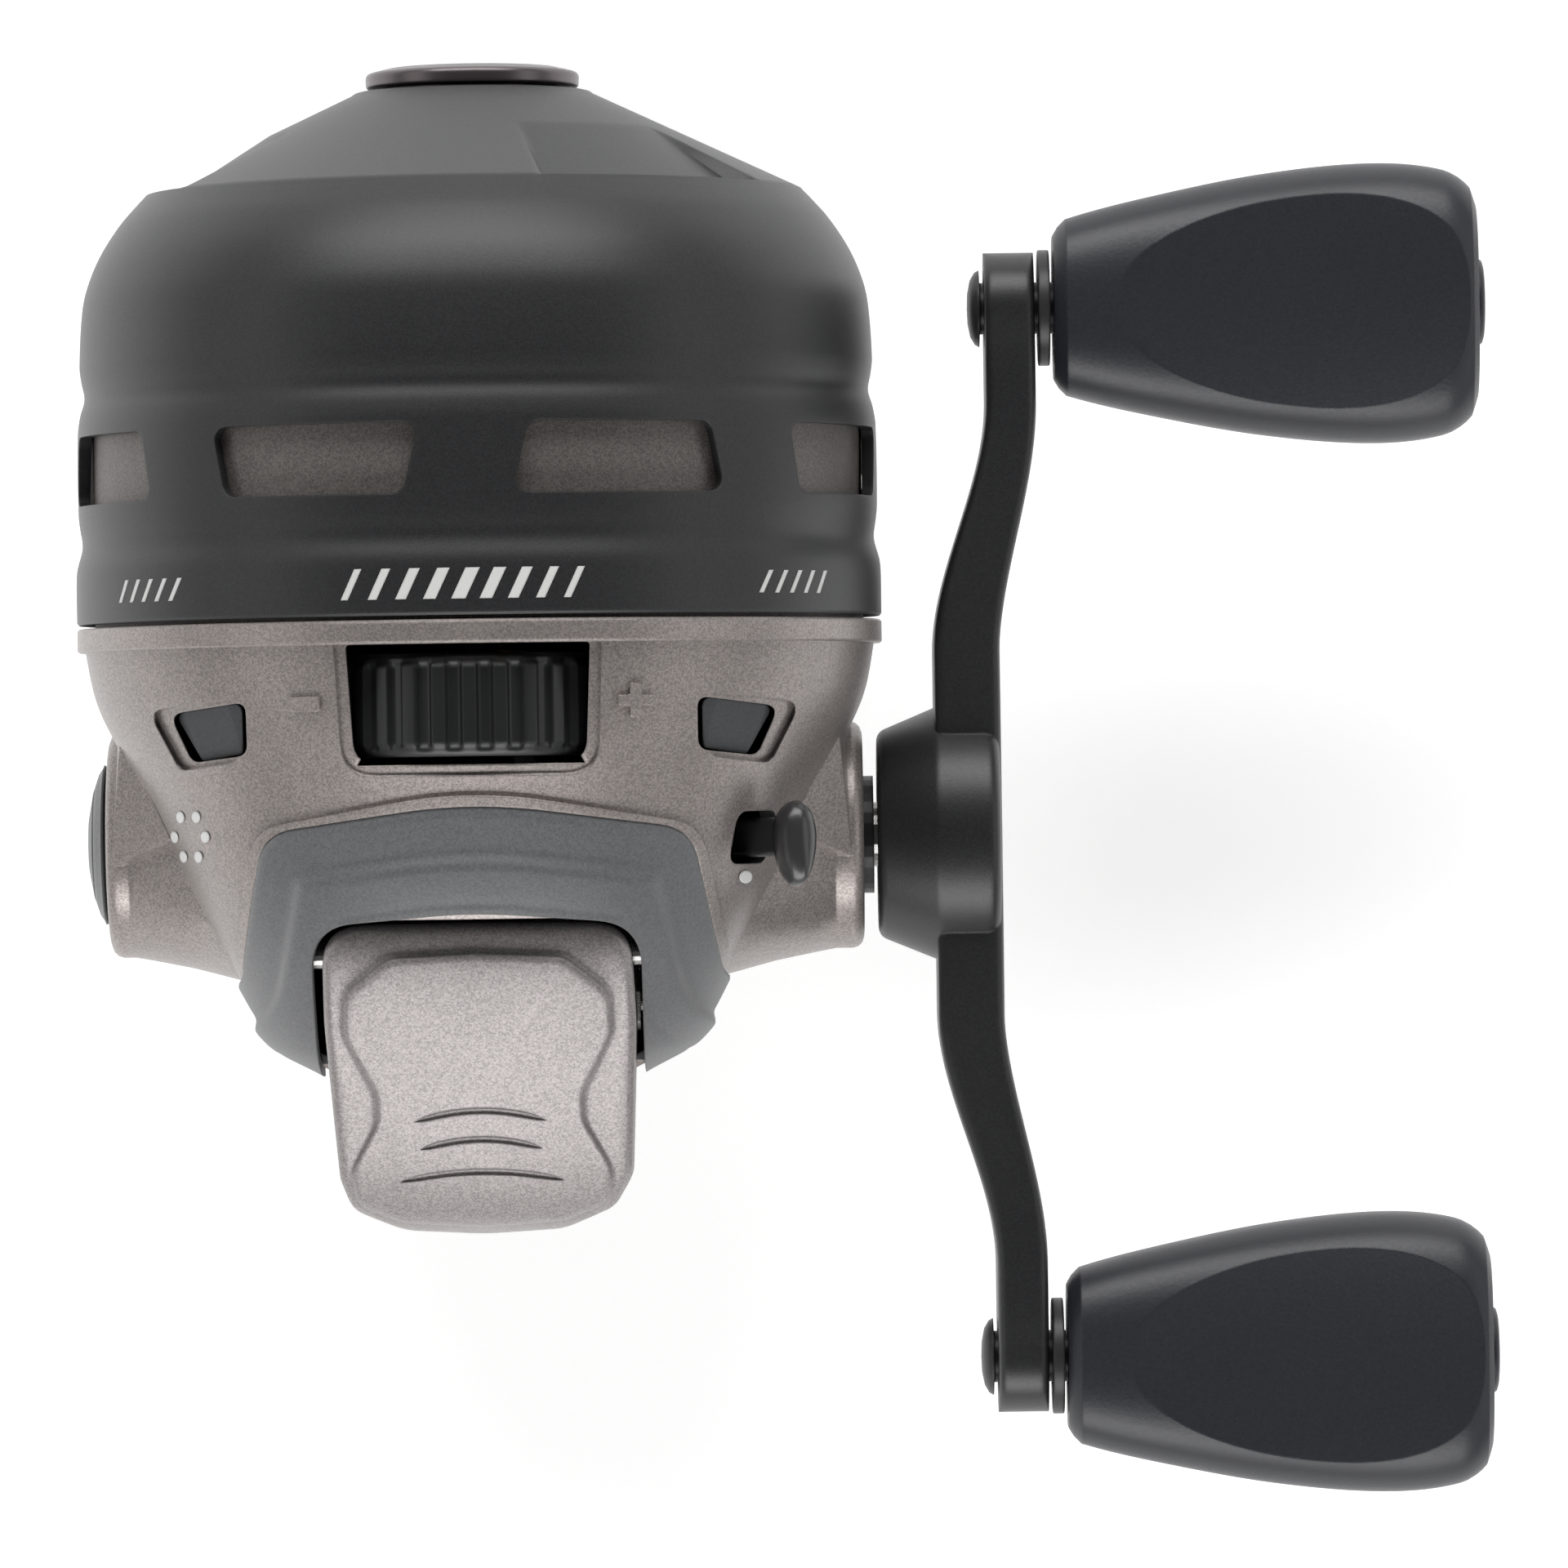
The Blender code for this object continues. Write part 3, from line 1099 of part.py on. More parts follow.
def build_knob(end_name, side, end_x, crank, pivot):
    """A dished paddle knob on its riveted pin, with a washer and an end cap."""
    at = Vector((0, side * ARM_REACH, CRANK_Z))
    start = end_x + ARM_END_THICK + GAP + WASHER_THICK + GAP
    finish = start + KNOB_LENGTH
    knob = loft("knob_" + end_name, "knob_black", knob_rings(start), at=at)
    for up in (1, -1):
        dish = bmesh.new()
        bmesh.ops.create_uvsphere(dish, u_segments=18, v_segments=8, radius=1.0)
        bmesh.ops.scale(dish, vec=(13.5 * MM, 8.6 * MM, 3.0 * MM), verts=dish.verts)
        mesh = bpy.data.meshes.new("dish")
        dish.to_mesh(mesh)
        dish.free()
        centre = at + Vector((start + KNOB_LENGTH * 0.56, 0, up * (KNOB_HALF_THICK + 1.6 * MM)))
        cut(knob, add_object("dish", mesh, None, centre))
    bore_end = finish - 4 * MM
    cut(knob, rod("knob_bore", None, KNOB_PIN_R + GAP, start - 1 * MM, bore_end, at, ALONG_X, 20))
    hang(knob, pivot)
    cap = [(0, finish + GAP), (3.4 * MM, finish + GAP), (3.2 * MM, finish + 0.8 * MM),
           (2.4 * MM, finish + 1.2 * MM), (0, finish + 1.3 * MM)]
    hang(turned("knob_cap_" + end_name, "knob_black", cap, at, ALONG_X, 20), pivot)
    head = end_x - GAP
    pin = [(0, head - 1.0 * MM), (2.2 * MM, head - 1.0 * MM), (3.0 * MM, head - 0.4 * MM),
           (3.0 * MM, head), (KNOB_PIN_R, head), (KNOB_PIN_R, bore_end - 1 * MM),
           (0, bore_end - 1 * MM)]
    hang(turned("knob_pin_" + end_name, "steel", pin, at, ALONG_X, 20), crank)
    washer = tube("knob_washer_" + end_name, "nylon", WASHER_R, KNOB_PIN_R + GAP,
                  start - GAP - WASHER_THICK, start - GAP, at, ALONG_X, 24)
    hang(washer, crank)


# ---------------------------------------------------------------- dial and button

def build_dial(pivot):
    """The ribbed drag dial and the screw that it turns through the deck."""
    outline = []
    for k in range(DIAL_RIBS):
        middle = 2 * pi * (k + 0.5) / DIAL_RIBS
        for offset, radius in ((-0.30, DIAL_R - DIAL_RIB_DEPTH), (-0.18, DIAL_R),
                               (0.18, DIAL_R), (0.30, DIAL_R - DIAL_RIB_DEPTH)):
            a = middle + offset * 2 * pi / DIAL_RIBS
            outline.append((radius * sin(a), radius * cos(a)))
    hole = circle(DRAG_SCREW_R + GAP, 20)
    middle_y = DIAL_REAR_Y + DIAL_LENGTH / 2
    dial = flat("drag_dial", "gloss_black", [outline, hole], DIAL_LENGTH, (0, middle_y, DIAL_Z),
                (pi / 2, 0, 0))
    hang(dial, pivot)
    screw = rod("drag_screw", "brass", DRAG_SCREW_R, DIAL_REAR_Y - 0.6 * MM,
                FLANGE_Y + DECK_THICK, (0, 0, DIAL_Z), ALONG_Y, 20)
    hang(screw, pivot)


def build_drag_shoe(pivot):
    rear = FLANGE_Y + 0.2 * MM + DECK_THICK + 0.6 * MM
    shoe = rod("drag_shoe", "nylon", 4.2 * MM, rear, rear + 0.8 * MM,
               (0, 0, DIAL_Z), ALONG_Y, 24)
    hang(shoe, pivot)


def button_outline(raised):
    """The button's side view as (y, z) pairs, with its top raised along its slope."""
    top = [(-6.4, 4.2), (-7.0, 5.8), (-9.0, 6.5), (-17.0, 2.8), (-25.0, -2.2), (-28.6, -5.6),
           (-30.1, -9.2)]
    low = [(-29.6, -11.6), (-27.0, -11.6), (-11.0, -2.4), (-6.4, -1.2)]
    points = [((y * MM) - 0.35 * raised, BUTTON_Z + h * MM + raised) for y, h in top]
    return points + [(y * MM, BUTTON_Z + h * MM) for y, h in low]


def button_plan(name, width, grow):
    """The button seen from above: rounded front corners, tapered sides and a bowed rear."""
    half = width + grow
    rear = BUTTON_REAR_Y - grow
    corners = [(-half, BUTTON_FRONT_Y + grow), (half, BUTTON_FRONT_Y + grow),
               (half - 1.2 * MM, rear + 2.2 * MM), (0, rear - 0.2 * MM),
               (-half + 1.2 * MM, rear + 2.2 * MM)]
    radii = [3.4 * MM, 3.4 * MM, 3.8 * MM, 20 * MM, 3.8 * MM]
    return flat(name, None, [rounded(corners, radii)], 80 * MM, (0, 0, BUTTON_Z))


def pad_plan():
    """The hourglass outline of the thumb pad."""
    right = [(6.6, -8.7), (9.9, -12.2), (9.9, -15.4), (7.8, -18.8), (7.8, -21.4),
             (9.7, -24.6), (9.5, -27.6), (5.0, -29.2)]
    corners = [(x * MM, y * MM) for x, y in right]
    corners += [(-x, y) for x, y in reversed(corners)]
    return flat("pad_plan", None, [rounded(corners, 2.2 * MM, 2)], 80 * MM, (0, 0, BUTTON_Z))


def build_button(pivot):
    """The hollow thumb button with a raised pad, its hinge pin and the pusher inside."""
    half = BUTTON_HALF_WIDTH + 1 * MM
    button = loft("thumb_button", "button_paint",
                  [[(x, y, z) for y, z in button_outline(0)] for x in (-half, half)])
    trim(button, button_plan("button_edge", BUTTON_HALF_WIDTH, 0.0))
    bevel(button, 1.2 * MM, 2, 50.0)
    pad = loft("thumb_pad", None,
               [[(x, y, z) for y, z in button_outline(PAD_RISE)] for x in (-half, half)])
    trim(pad, pad_plan())
    fuse(button, pad)
    hollow = loft("button_hollow", None,
                  [[(x, y, z) for y, z in button_inside()] for x in (-half, half)])
    trim(hollow, button_plan("hollow_edge", BUTTON_HALF_WIDTH, -BUTTON_WALL))
    cut(button, hollow)
    cut(button, rod("button_bore", None, BUTTON_PIN_R + GAP, -20 * MM, 20 * MM,
                    (0, BUTTON_Y, BUTTON_Z), ALONG_X, 16))
    hang(button, pivot)
    rod("button_pin", "steel", BUTTON_PIN_R, -BUTTON_HALF_WIDTH - 1.9 * MM,
        BUTTON_HALF_WIDTH + 1.9 * MM, (0, BUTTON_Y, BUTTON_Z), ALONG_X, 16)
    face = SEAT_REAR_Y - GAP
    low = REEL_Z - 5 * MM
    high = BUTTON_Z - 3.2 * MM
    pusher = box("button_pusher", "zinc", (PUSHER_WIDTH, PUSHER_THICK, high - low),
                 (0, face - PUSHER_THICK / 2, (high + low) / 2))
    hang(pusher, pivot)


def button_inside():
    """The side view of the button's hollow, open downwards."""
    roof = [(-5.0, -9.0), (-5.0, 2.4), (-7.9, 4.9), (-9.0, 4.8), (-17.0, 1.1), (-25.0, -3.9),
            (-28.0, -7.0), (-29.4, -11.0), (-29.4, -30.0), (-5.0, -30.0)]
    return [(y * MM, BUTTON_Z + h * MM) for y, h in roof]


# ---------------------------------------------------------------- assembly

clear_scene()
PARTS = new_collection("spincast_reel")
CUTTERS = new_collection("reel_cutters")
MATERIALS = make_materials()

crank_axis = add_pivot("crank_axis", (0, 0, CRANK_Z))
knob_front_axis = add_pivot("knob_front_axis", (ARM_X, ARM_REACH, CRANK_Z))
knob_rear_axis = add_pivot("knob_rear_axis", (ARM_X, -ARM_REACH, CRANK_Z))
shaft_slide = add_pivot("shaft_slide", (0, SHAFT_REAR_Y, REEL_Z))
rotor_axis = add_pivot("rotor_axis", (0, SPINNER_REAR_Y, REEL_Z))
pickup_slide = add_pivot("pickup_slide", (0, PICKUP_PIN_Y, REEL_Z))
pinion_axis = add_pivot("pinion_axis", (0, PINION_REAR_Y, REEL_Z))
spool_axis = add_pivot("spool_axis", (0, SPOOL_REAR_Y, REEL_Z))
dial_axis = add_pivot("dial_axis", (0, DIAL_REAR_Y, DIAL_Z))
shoe_slide = add_pivot("shoe_slide", (0, FLANGE_Y, DIAL_Z))
button_axis = add_pivot("button_axis", (0, BUTTON_Y, BUTTON_Z))
lever_axis = add_pivot("lever_axis", (LEVER_X, 0, LEVER_Z))
pawl_axis = add_pivot("pawl_axis", (RATCHET_X, PAWL_Y, PAWL_Z))
for child, parent in ((knob_front_axis, crank_axis), (knob_rear_axis, crank_axis),
                      (rotor_axis, shaft_slide), (pickup_slide, rotor_axis)):
    hang(child, parent)

build_front_cover()
build_nose_ring()
build_housing()
build_vent_inserts()
build_rear_cover()
build_foot()
build_deck()
build_spool(spool_axis)
build_rotor(rotor_axis)
build_pickup_pin(pickup_slide)
build_shaft_seat(shaft_slide)
build_pinion(pinion_axis)
build_drive_gear(crank_axis)
build_crank(crank_axis)
build_pawl(pawl_axis)
build_lever(lever_axis)
arm_end_x = build_handle(crank_axis)
build_knob("front", 1, arm_end_x, crank_axis, knob_front_axis)
build_knob("rear", -1, arm_end_x, crank_axis, knob_rear_axis)
build_dial(dial_axis)
build_drag_shoe(shoe_slide)
build_button(button_axis)
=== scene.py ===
"""Looks of a closed-face spincast reel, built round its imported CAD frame."""
import json
from math import atan2, cos, pi, radians, sin

import bmesh
import bpy
from mathutils import Matrix, Vector


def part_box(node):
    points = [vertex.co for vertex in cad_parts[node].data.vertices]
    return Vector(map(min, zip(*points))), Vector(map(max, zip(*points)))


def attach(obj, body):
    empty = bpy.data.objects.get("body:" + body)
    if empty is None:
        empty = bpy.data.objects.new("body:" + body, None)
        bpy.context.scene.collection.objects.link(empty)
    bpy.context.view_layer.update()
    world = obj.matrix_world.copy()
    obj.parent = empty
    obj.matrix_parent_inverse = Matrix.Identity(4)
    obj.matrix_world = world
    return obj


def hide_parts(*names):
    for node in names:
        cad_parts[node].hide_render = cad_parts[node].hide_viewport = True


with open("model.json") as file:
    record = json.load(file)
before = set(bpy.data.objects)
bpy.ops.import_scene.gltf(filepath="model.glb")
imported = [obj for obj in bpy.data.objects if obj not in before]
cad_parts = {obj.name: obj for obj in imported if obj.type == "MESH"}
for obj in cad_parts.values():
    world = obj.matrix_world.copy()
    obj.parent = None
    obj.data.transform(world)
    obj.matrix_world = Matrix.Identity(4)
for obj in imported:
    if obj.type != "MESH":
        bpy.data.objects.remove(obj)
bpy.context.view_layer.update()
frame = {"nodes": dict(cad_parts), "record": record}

MM = 0.001
SAME_POINT = 1e-7
REEL_Z = 40.0 * MM
CRANK_Z = 34.5 * MM
COVER_R = 31.0 * MM
FLANGE_Y = 15.4 * MM
DIAL_Z = REEL_Z + 18.6 * MM
BUTTON_Z = REEL_Z + 16.0 * MM
BUTTON_CROWN = 0.006  # how fast the button falls off sideways, per mm
ARM_REACH_MM = 40.7
ARM_REACH = ARM_REACH_MM * MM
LEVER_LEAN = radians(41.0)
LEVER_PIVOT = Vector((15 * MM, 0, REEL_Z + 5.5 * MM))
DIAL_WINDOW = [(-9.2, 14.8), (9.0, 14.8), (8.6, 5.9), (-8.7, 5.9)]
SLOT_OF = {part["node"]: part["material_slot"] for part in frame["record"]["subparts"]}


# ---------------------------------------------------------------- materials

def node(tree, kind, **settings):
    """Adds a shader node and sets its properties and inputs by name."""
    made = tree.nodes.new(kind)
    for key, value in settings.items():
        if hasattr(made, key):
            setattr(made, key, value)
        else:
            made.inputs[key.replace("_", " ")].default_value = value
    return made


def finish_of(name, colour, roughness, metallic=0.0, coat=0.0, coat_rough=0.3, fleck=0.0,
              fleck_scale=8500.0, grain=0.04, grain_scale=5200.0, blotch=0.10,
              edge=0.25 * MM, wear=0.0, brushed=(1.0, 1.0, 1.0), sheen=0.0, specular=0.5):
    """A procedural finish: mottled colour, flecks, uneven gloss, fine grain, soft edges."""
    made = bpy.data.materials.new(name)
    made.use_nodes = True
    tree = made.node_tree
    shader = tree.nodes["Principled BSDF"]
    link = tree.links.new
    place = tree.nodes.new("ShaderNodeTexCoord")
    stretch = node(tree, "ShaderNodeMapping", Scale=brushed)
    link(place.outputs["Object"], stretch.inputs["Vector"])
    cloud = node(tree, "ShaderNodeTexNoise", Scale=140.0, Detail=5.0, Roughness=0.6)
    link(place.outputs["Object"], cloud.inputs["Vector"])
    fine = node(tree, "ShaderNodeTexNoise", Scale=grain_scale, Detail=3.0, Roughness=0.65)
    link(stretch.outputs["Vector"], fine.inputs["Vector"])
    dark = [c * (1.0 - blotch) for c in colour]
    light = [min(1.0, c * (1.0 + blotch)) for c in colour]
    mottle = node(tree, "ShaderNodeMix", data_type="RGBA")
    mottle.inputs[6].default_value = (*dark, 1.0)
    mottle.inputs[7].default_value = (*light, 1.0)
    link(cloud.outputs["Fac"], mottle.inputs[0])
    tint = mottle.outputs[2]
    if fleck:
        cells = node(tree, "ShaderNodeTexVoronoi", Scale=fleck_scale)
        link(place.outputs["Object"], cells.inputs["Vector"])
        pick = tree.nodes.new("ShaderNodeSeparateColor")
        link(cells.outputs["Color"], pick.inputs[0])
        shade = node(tree, "ShaderNodeMapRange", To_Min=1.0 - fleck, To_Max=1.0 + fleck)
        link(pick.outputs[0], shade.inputs["Value"])
        sparkle = node(tree, "ShaderNodeMix", data_type="RGBA", blend_type="MULTIPLY")
        sparkle.inputs[0].default_value = 1.0
        grey = tree.nodes.new("ShaderNodeCombineColor")
        for channel in range(3):
            link(shade.outputs["Result"], grey.inputs[channel])
        link(tint, sparkle.inputs[6])
        link(grey.outputs[0], sparkle.inputs[7])
        tint = sparkle.outputs[2]
    if wear:
        rub = tree.nodes.new("ShaderNodeNewGeometry")
        ramp = tree.nodes.new("ShaderNodeValToRGB")
        ramp.color_ramp.elements[0].position = 0.505
        ramp.color_ramp.elements[1].position = 0.60
        link(rub.outputs["Pointiness"], ramp.inputs["Fac"])
        share = node(tree, "ShaderNodeMath", operation="MULTIPLY")
        share.inputs[1].default_value = wear
        link(ramp.outputs["Color"], share.inputs[0])
        worn = node(tree, "ShaderNodeMix", data_type="RGBA")
        worn.inputs[7].default_value = (*[min(1.0, c * 2.2 + 0.03) for c in colour], 1.0)
        link(share.outputs[0], worn.inputs[0])
        link(tint, worn.inputs[6])
        tint = worn.outputs[2]
    link(tint, shader.inputs["Base Color"])
    gloss = node(tree, "ShaderNodeMapRange", To_Min=max(0.02, roughness - 0.07),
                 To_Max=min(1.0, roughness + 0.07))
    link(fine.outputs["Fac"], gloss.inputs["Value"])
    link(gloss.outputs["Result"], shader.inputs["Roughness"])
    soft = node(tree, "ShaderNodeBevel", samples=4, Radius=edge)
    bump = node(tree, "ShaderNodeBump", Strength=1.0, Distance=grain * MM)
    link(fine.outputs["Fac"], bump.inputs["Height"])
    link(soft.outputs["Normal"], bump.inputs["Normal"])
    link(bump.outputs["Normal"], shader.inputs["Normal"])
    for key, value in (("Metallic", metallic), ("Coat Weight", coat),
                       ("Coat Roughness", coat_rough), ("Sheen Weight", sheen),
                       ("Specular IOR Level", specular)):
        shader.inputs[key].default_value = value
    return made


SOFT_BLACK = finish_of("soft_touch_black", (0.0115, 0.0118, 0.0130), 0.46, fleck=0.35,
                       grain=0.010, coat=0.35, coat_rough=0.42, wear=0.10, specular=0.4)
TITANIUM = finish_of("titanium_paint", (0.275, 0.245, 0.232), 0.40, 0.55, fleck=0.30,
                     grain=0.010, coat=0.15, coat_rough=0.25, wear=0.10)
BUTTON_PAINT = finish_of("button_paint", (0.265, 0.243, 0.238), 0.42, 0.45, fleck=0.30,
                         grain=0.012, coat=0.15, coat_rough=0.3, wear=0.08)
# The titanium paint at half brightness: painted shade for the collar wall inside the cover.
COLLAR_SHADED_TITANIUM = finish_of("collar_shaded_titanium", (0.135, 0.122, 0.115), 0.50, 0.4, fleck=0.30,
                         grain=0.010)
SOFT_GREY = finish_of("soft_touch_grey", (0.102, 0.104, 0.108), 0.50, fleck=0.22,
                      grain=0.010, sheen=0.15)
VENT_GREY = finish_of("vent_grey", (0.040, 0.042, 0.045), 0.55, fleck=0.2, grain=0.012)
GLOSS_BLACK = finish_of("gloss_black", (0.008, 0.0085, 0.009), 0.40, grain=0.006, coat=0.15,
                        coat_rough=0.3)
LEVER_BLACK = finish_of("lever_black", (0.030, 0.029, 0.030), 0.30, grain=0.005, coat=0.3,
                        coat_rough=0.2)
ARM_BLACK = finish_of("arm_black", (0.011, 0.0113, 0.0123), 0.40, fleck=0.3, grain=0.010,
                      coat=0.12, coat_rough=0.35, wear=0.15)
KNOB_BLACK = finish_of("knob_black", (0.015, 0.016, 0.021), 0.42, fleck=0.12, grain=0.014,
                       grain_scale=3200.0, specular=0.55)
GUNMETAL = finish_of("gunmetal", (0.130, 0.112, 0.116), 0.34, 0.85, grain=0.004, coat=0.2,
                     edge=0.15 * MM)
STEEL = finish_of("steel", (0.50, 0.49, 0.48), 0.28, 1.0, grain=0.006, grain_scale=3000.0,
                  brushed=(1.0, 1.0, 6.0), edge=0.12 * MM)
BRASS = finish_of("brass", (0.60, 0.42, 0.19), 0.30, 1.0, grain=0.006, edge=0.1 * MM)
ZINC = finish_of("zinc", (0.36, 0.37, 0.39), 0.42, 1.0, grain=0.02, edge=0.15 * MM)
ALUMINIUM = finish_of("aluminium", (0.60, 0.61, 0.63), 0.32, 1.0, grain=0.008,
                      brushed=(1.0, 8.0, 1.0), edge=0.12 * MM)
NYLON = finish_of("nylon", (0.55, 0.52, 0.45), 0.48, grain=0.01)
WASHER_DARK = finish_of("washer_dark", (0.035, 0.033, 0.034), 0.4, 0.4, grain=0.006)
PRINT_WHITE = finish_of("print_white", (0.62, 0.62, 0.61), 0.5, grain=0.01, blotch=0.05)
FLOOR = finish_of("floor_paper", (0.88, 0.88, 0.88), 0.9, grain=0.01, blotch=0.004,
                  specular=0.1)
FOOT_PAINT = finish_of("foot_paint", (0.030, 0.030, 0.032), 0.42, 0.3, fleck=0.25,
                       grain=0.012, coat=0.1, wear=0.2)
BY_SLOT = {
    "soft_black": SOFT_BLACK, "titanium_paint": TITANIUM, "button_paint": BUTTON_PAINT,
    "soft_grey": VENT_GREY, "gloss_black": GLOSS_BLACK, "arm_black": ARM_BLACK,
    "knob_black": KNOB_BLACK, "gunmetal": GUNMETAL, "steel": STEEL, "brass": BRASS,
    "zinc": ZINC, "aluminium": ALUMINIUM, "nylon": NYLON,
}


# ---------------------------------------------------------------- mesh helpers

def in_scene(obj):
    bpy.context.scene.collection.objects.link(obj)
    return obj


def new_object(name, verts, faces, material=None):
    """Makes a mesh object with merged points and outward normals."""
    mesh = bpy.data.meshes.new(name)
    mesh.from_pydata([tuple(v) for v in verts], [], faces)
    work = bmesh.new()
    work.from_mesh(mesh)
    bmesh.ops.remove_doubles(work, verts=work.verts[:], dist=SAME_POINT)
    bmesh.ops.recalc_face_normals(work, faces=work.faces[:])
    work.to_mesh(mesh)
    work.free()
    if material:
        mesh.materials.append(material)
    return in_scene(bpy.data.objects.new(name, mesh))


def loft(name, rings, material=None, loop=False):
    """Skins rings of equal length; without loop the two ends are closed."""
    count = len(rings[0])
    verts = [p for ring in rings for p in ring]
    faces = []
    spans = len(rings) if loop else len(rings) - 1
    for k in range(spans):
        a = k * count
        b = ((k + 1) % len(rings)) * count
        for i in range(count):
            j = (i + 1) % count
            faces.append((a + i, a + j, b + j, b + i))
    if not loop:
        faces.append(tuple(range(count)))
        faces.append(tuple(range(len(verts) - count, len(verts))))
    return new_object(name, verts, faces, material)


def rounded(points, radii, steps=6):
    """A closed outline with its corners turned into arcs."""
    if not isinstance(radii, (list, tuple)):
        radii = [radii] * len(points)
    made = []
    for i, (point, radius) in enumerate(zip(points, radii)):
        here = Vector(point)
        before = Vector(points[i - 1]) - here
        after = Vector(points[(i + 1) % len(points)]) - here
        if radius <= 0 or before.length < 1e-9 or after.length < 1e-9:
            made.append(tuple(here))
            continue
        turn = before.angle(after)
        if turn > pi - 0.02:
            made.append(tuple(here))
            continue
        reach = min(radius / max(1e-6, abs(sin(turn / 2) / cos(turn / 2))),
                    before.length * 0.48, after.length * 0.48)
        start = here + before.normalized() * reach
        end = here + after.normalized() * reach
        for k in range(steps + 1):
            t = k / steps
            p = start * (1 - t) ** 2 + here * 2 * t * (1 - t) + end * t ** 2
            made.append(tuple(p))
    return made


def turned(name, profile, material, axis="Y", at=(0, 0, 0), steps=160):
    """Turns a closed (radius, along) profile about an axis."""
    at = Vector(at)
    rings = []
    for i in range(steps):
        a = 2 * pi * i / steps
        ring = []
        for r, s in profile:
            r = max(r, 0.0)
            if axis == "Y":
                ring.append(at + Vector((r * sin(a), s, r * cos(a))))
            elif axis == "X":
                ring.append(at + Vector((s, r * cos(a), r * sin(a))))
            else:
                ring.append(at + Vector((r * cos(a), r * sin(a), s)))
        rings.append(ring)
    obj = loft(name, rings, material, loop=True)
    work = bmesh.new()
    work.from_mesh(obj.data)
    bmesh.ops.dissolve_degenerate(work, dist=SAME_POINT, edges=work.edges[:])
    bmesh.ops.recalc_face_normals(work, faces=work.faces[:])
    work.to_mesh(obj.data)
    work.free()
    return obj


def prism(name, outline, low, high, place=None):
    """Extrudes a closed (x, y) outline from low to high along Z, then places it."""
    rings = [[Vector((x, y, z)) for x, y in outline] for z in (low, high)]
    if place:
        rings = [[place @ p for p in ring] for ring in rings]
    return loft(name, rings)


def boolean(obj, cutter, operation="DIFFERENCE"):
    """Cuts, joins or trims an object with a cutter, and removes the cutter."""
    step = obj.modifiers.new("step", "BOOLEAN")
    step.object = cutter
    step.operation = operation
    step.solver = "EXACT"
    bake(obj)
    bpy.data.objects.remove(cutter)


def bake(obj):
    """Turns an object's modifiers into plain mesh."""
    bpy.context.view_layer.update()
    graph = bpy.context.evaluated_depsgraph_get()
    made = bpy.data.meshes.new_from_object(obj.evaluated_get(graph))
    obj.modifiers.clear()
    obj.data = made


def smooth(obj, angle=32.0):
    obj.data.shade_smooth()
    obj.data.set_sharp_from_angle(angle=radians(angle))


def piece(obj, body, *nodes, angle=32.0):
    """Shades a finished piece, hangs it on the body it rides on and hides the CAD parts it stands
    for.
    """
    smooth(obj, angle)
    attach(obj, body)
    if nodes:
        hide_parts(*nodes)
    return obj


def curve_at(xs, ys, x):
    """A smooth curve through points whose xs rise, held flat beyond its ends."""
    if x <= xs[0]:
        return ys[0]
    if x >= xs[-1]:
        return ys[-1]
    k = 0
    while xs[k + 1] < x:
        k += 1
    slopes = []
    for j in (k, k + 1):
        a = max(0, j - 1)
        b = min(len(xs) - 1, j + 1)
        slopes.append((ys[b] - ys[a]) / (xs[b] - xs[a]))
    h = xs[k + 1] - xs[k]
    t = (x - xs[k]) / h
    return ((2 * t ** 3 - 3 * t ** 2 + 1) * ys[k] + (t ** 3 - 2 * t ** 2 + t) * h * slopes[0]
            + (3 * t ** 2 - 2 * t ** 3) * ys[k + 1] + (t ** 3 - t ** 2) * h * slopes[1])


def in_mm(points):
    """Points given in millimetres, in metres."""
    return [(x * MM, y * MM) for x, y in points]


def radial(points):
    """A profile's radii given in millimetres, in metres; the other numbers are metres."""
    return [(r * MM, s) for r, s in points]


def rectangle(half_x, half_y):
    return [(-half_x, -half_y), (half_x, -half_y), (half_x, half_y), (-half_x, half_y)]


def signed_power(value, power):
    return abs(value) ** power * (1 if value >= 0 else -1)


def square_ring(half_x, half_y, z, count=72):
    """A level ring between an ellipse and a rectangle, in mm."""
    ring = []
    for i in range(count):
        a = 2 * pi * i / count
        ring.append(Vector((half_x * MM * signed_power(cos(a), 0.5),
                            half_y * MM * signed_power(sin(a), 0.5), z * MM)))
    return ring


def ease(low, high, x):
    """A smooth step from 0 at low to 1 at high."""
    t = min(1.0, max(0.0, (x - low) / (high - low)))
    return t * t * (3 - 2 * t)


def spread(low, high, count):
    return [low + (high - low) * i / (count - 1) for i in range(count)]


# ---------------------------------------------------------------- housing surface

BOWL = 30.5
SECTIONS = (
    (-23.8, 6.0, 3.4, BOWL - 17.0, 2.3),
    (-21.8, 9.0, 8.6, BOWL - 12.5, 2.6),
    (-18.7, 10.1, 12.4, BOWL - 10.0, 2.5),
    (-15.6, 15.3, 16.4, BOWL - 8.0, 2.3),
    (-10.5, 18.7, 21.0, BOWL - 6.0, 2.3),
    (-4.0, 22.4, 25.2, BOWL - 4.5, 2.2),
    (3.0, BOWL - 5.0, BOWL - 3.0, BOWL - 3.6, 2.1),
    (7.5, BOWL - 2.5, BOWL - 1.4, BOWL - 2.5, 2.0),
    (11.0, BOWL - 0.9, BOWL - 0.7, BOWL - 0.9, 2.0),
    (15.4, BOWL, BOWL, BOWL, 2.0),
)


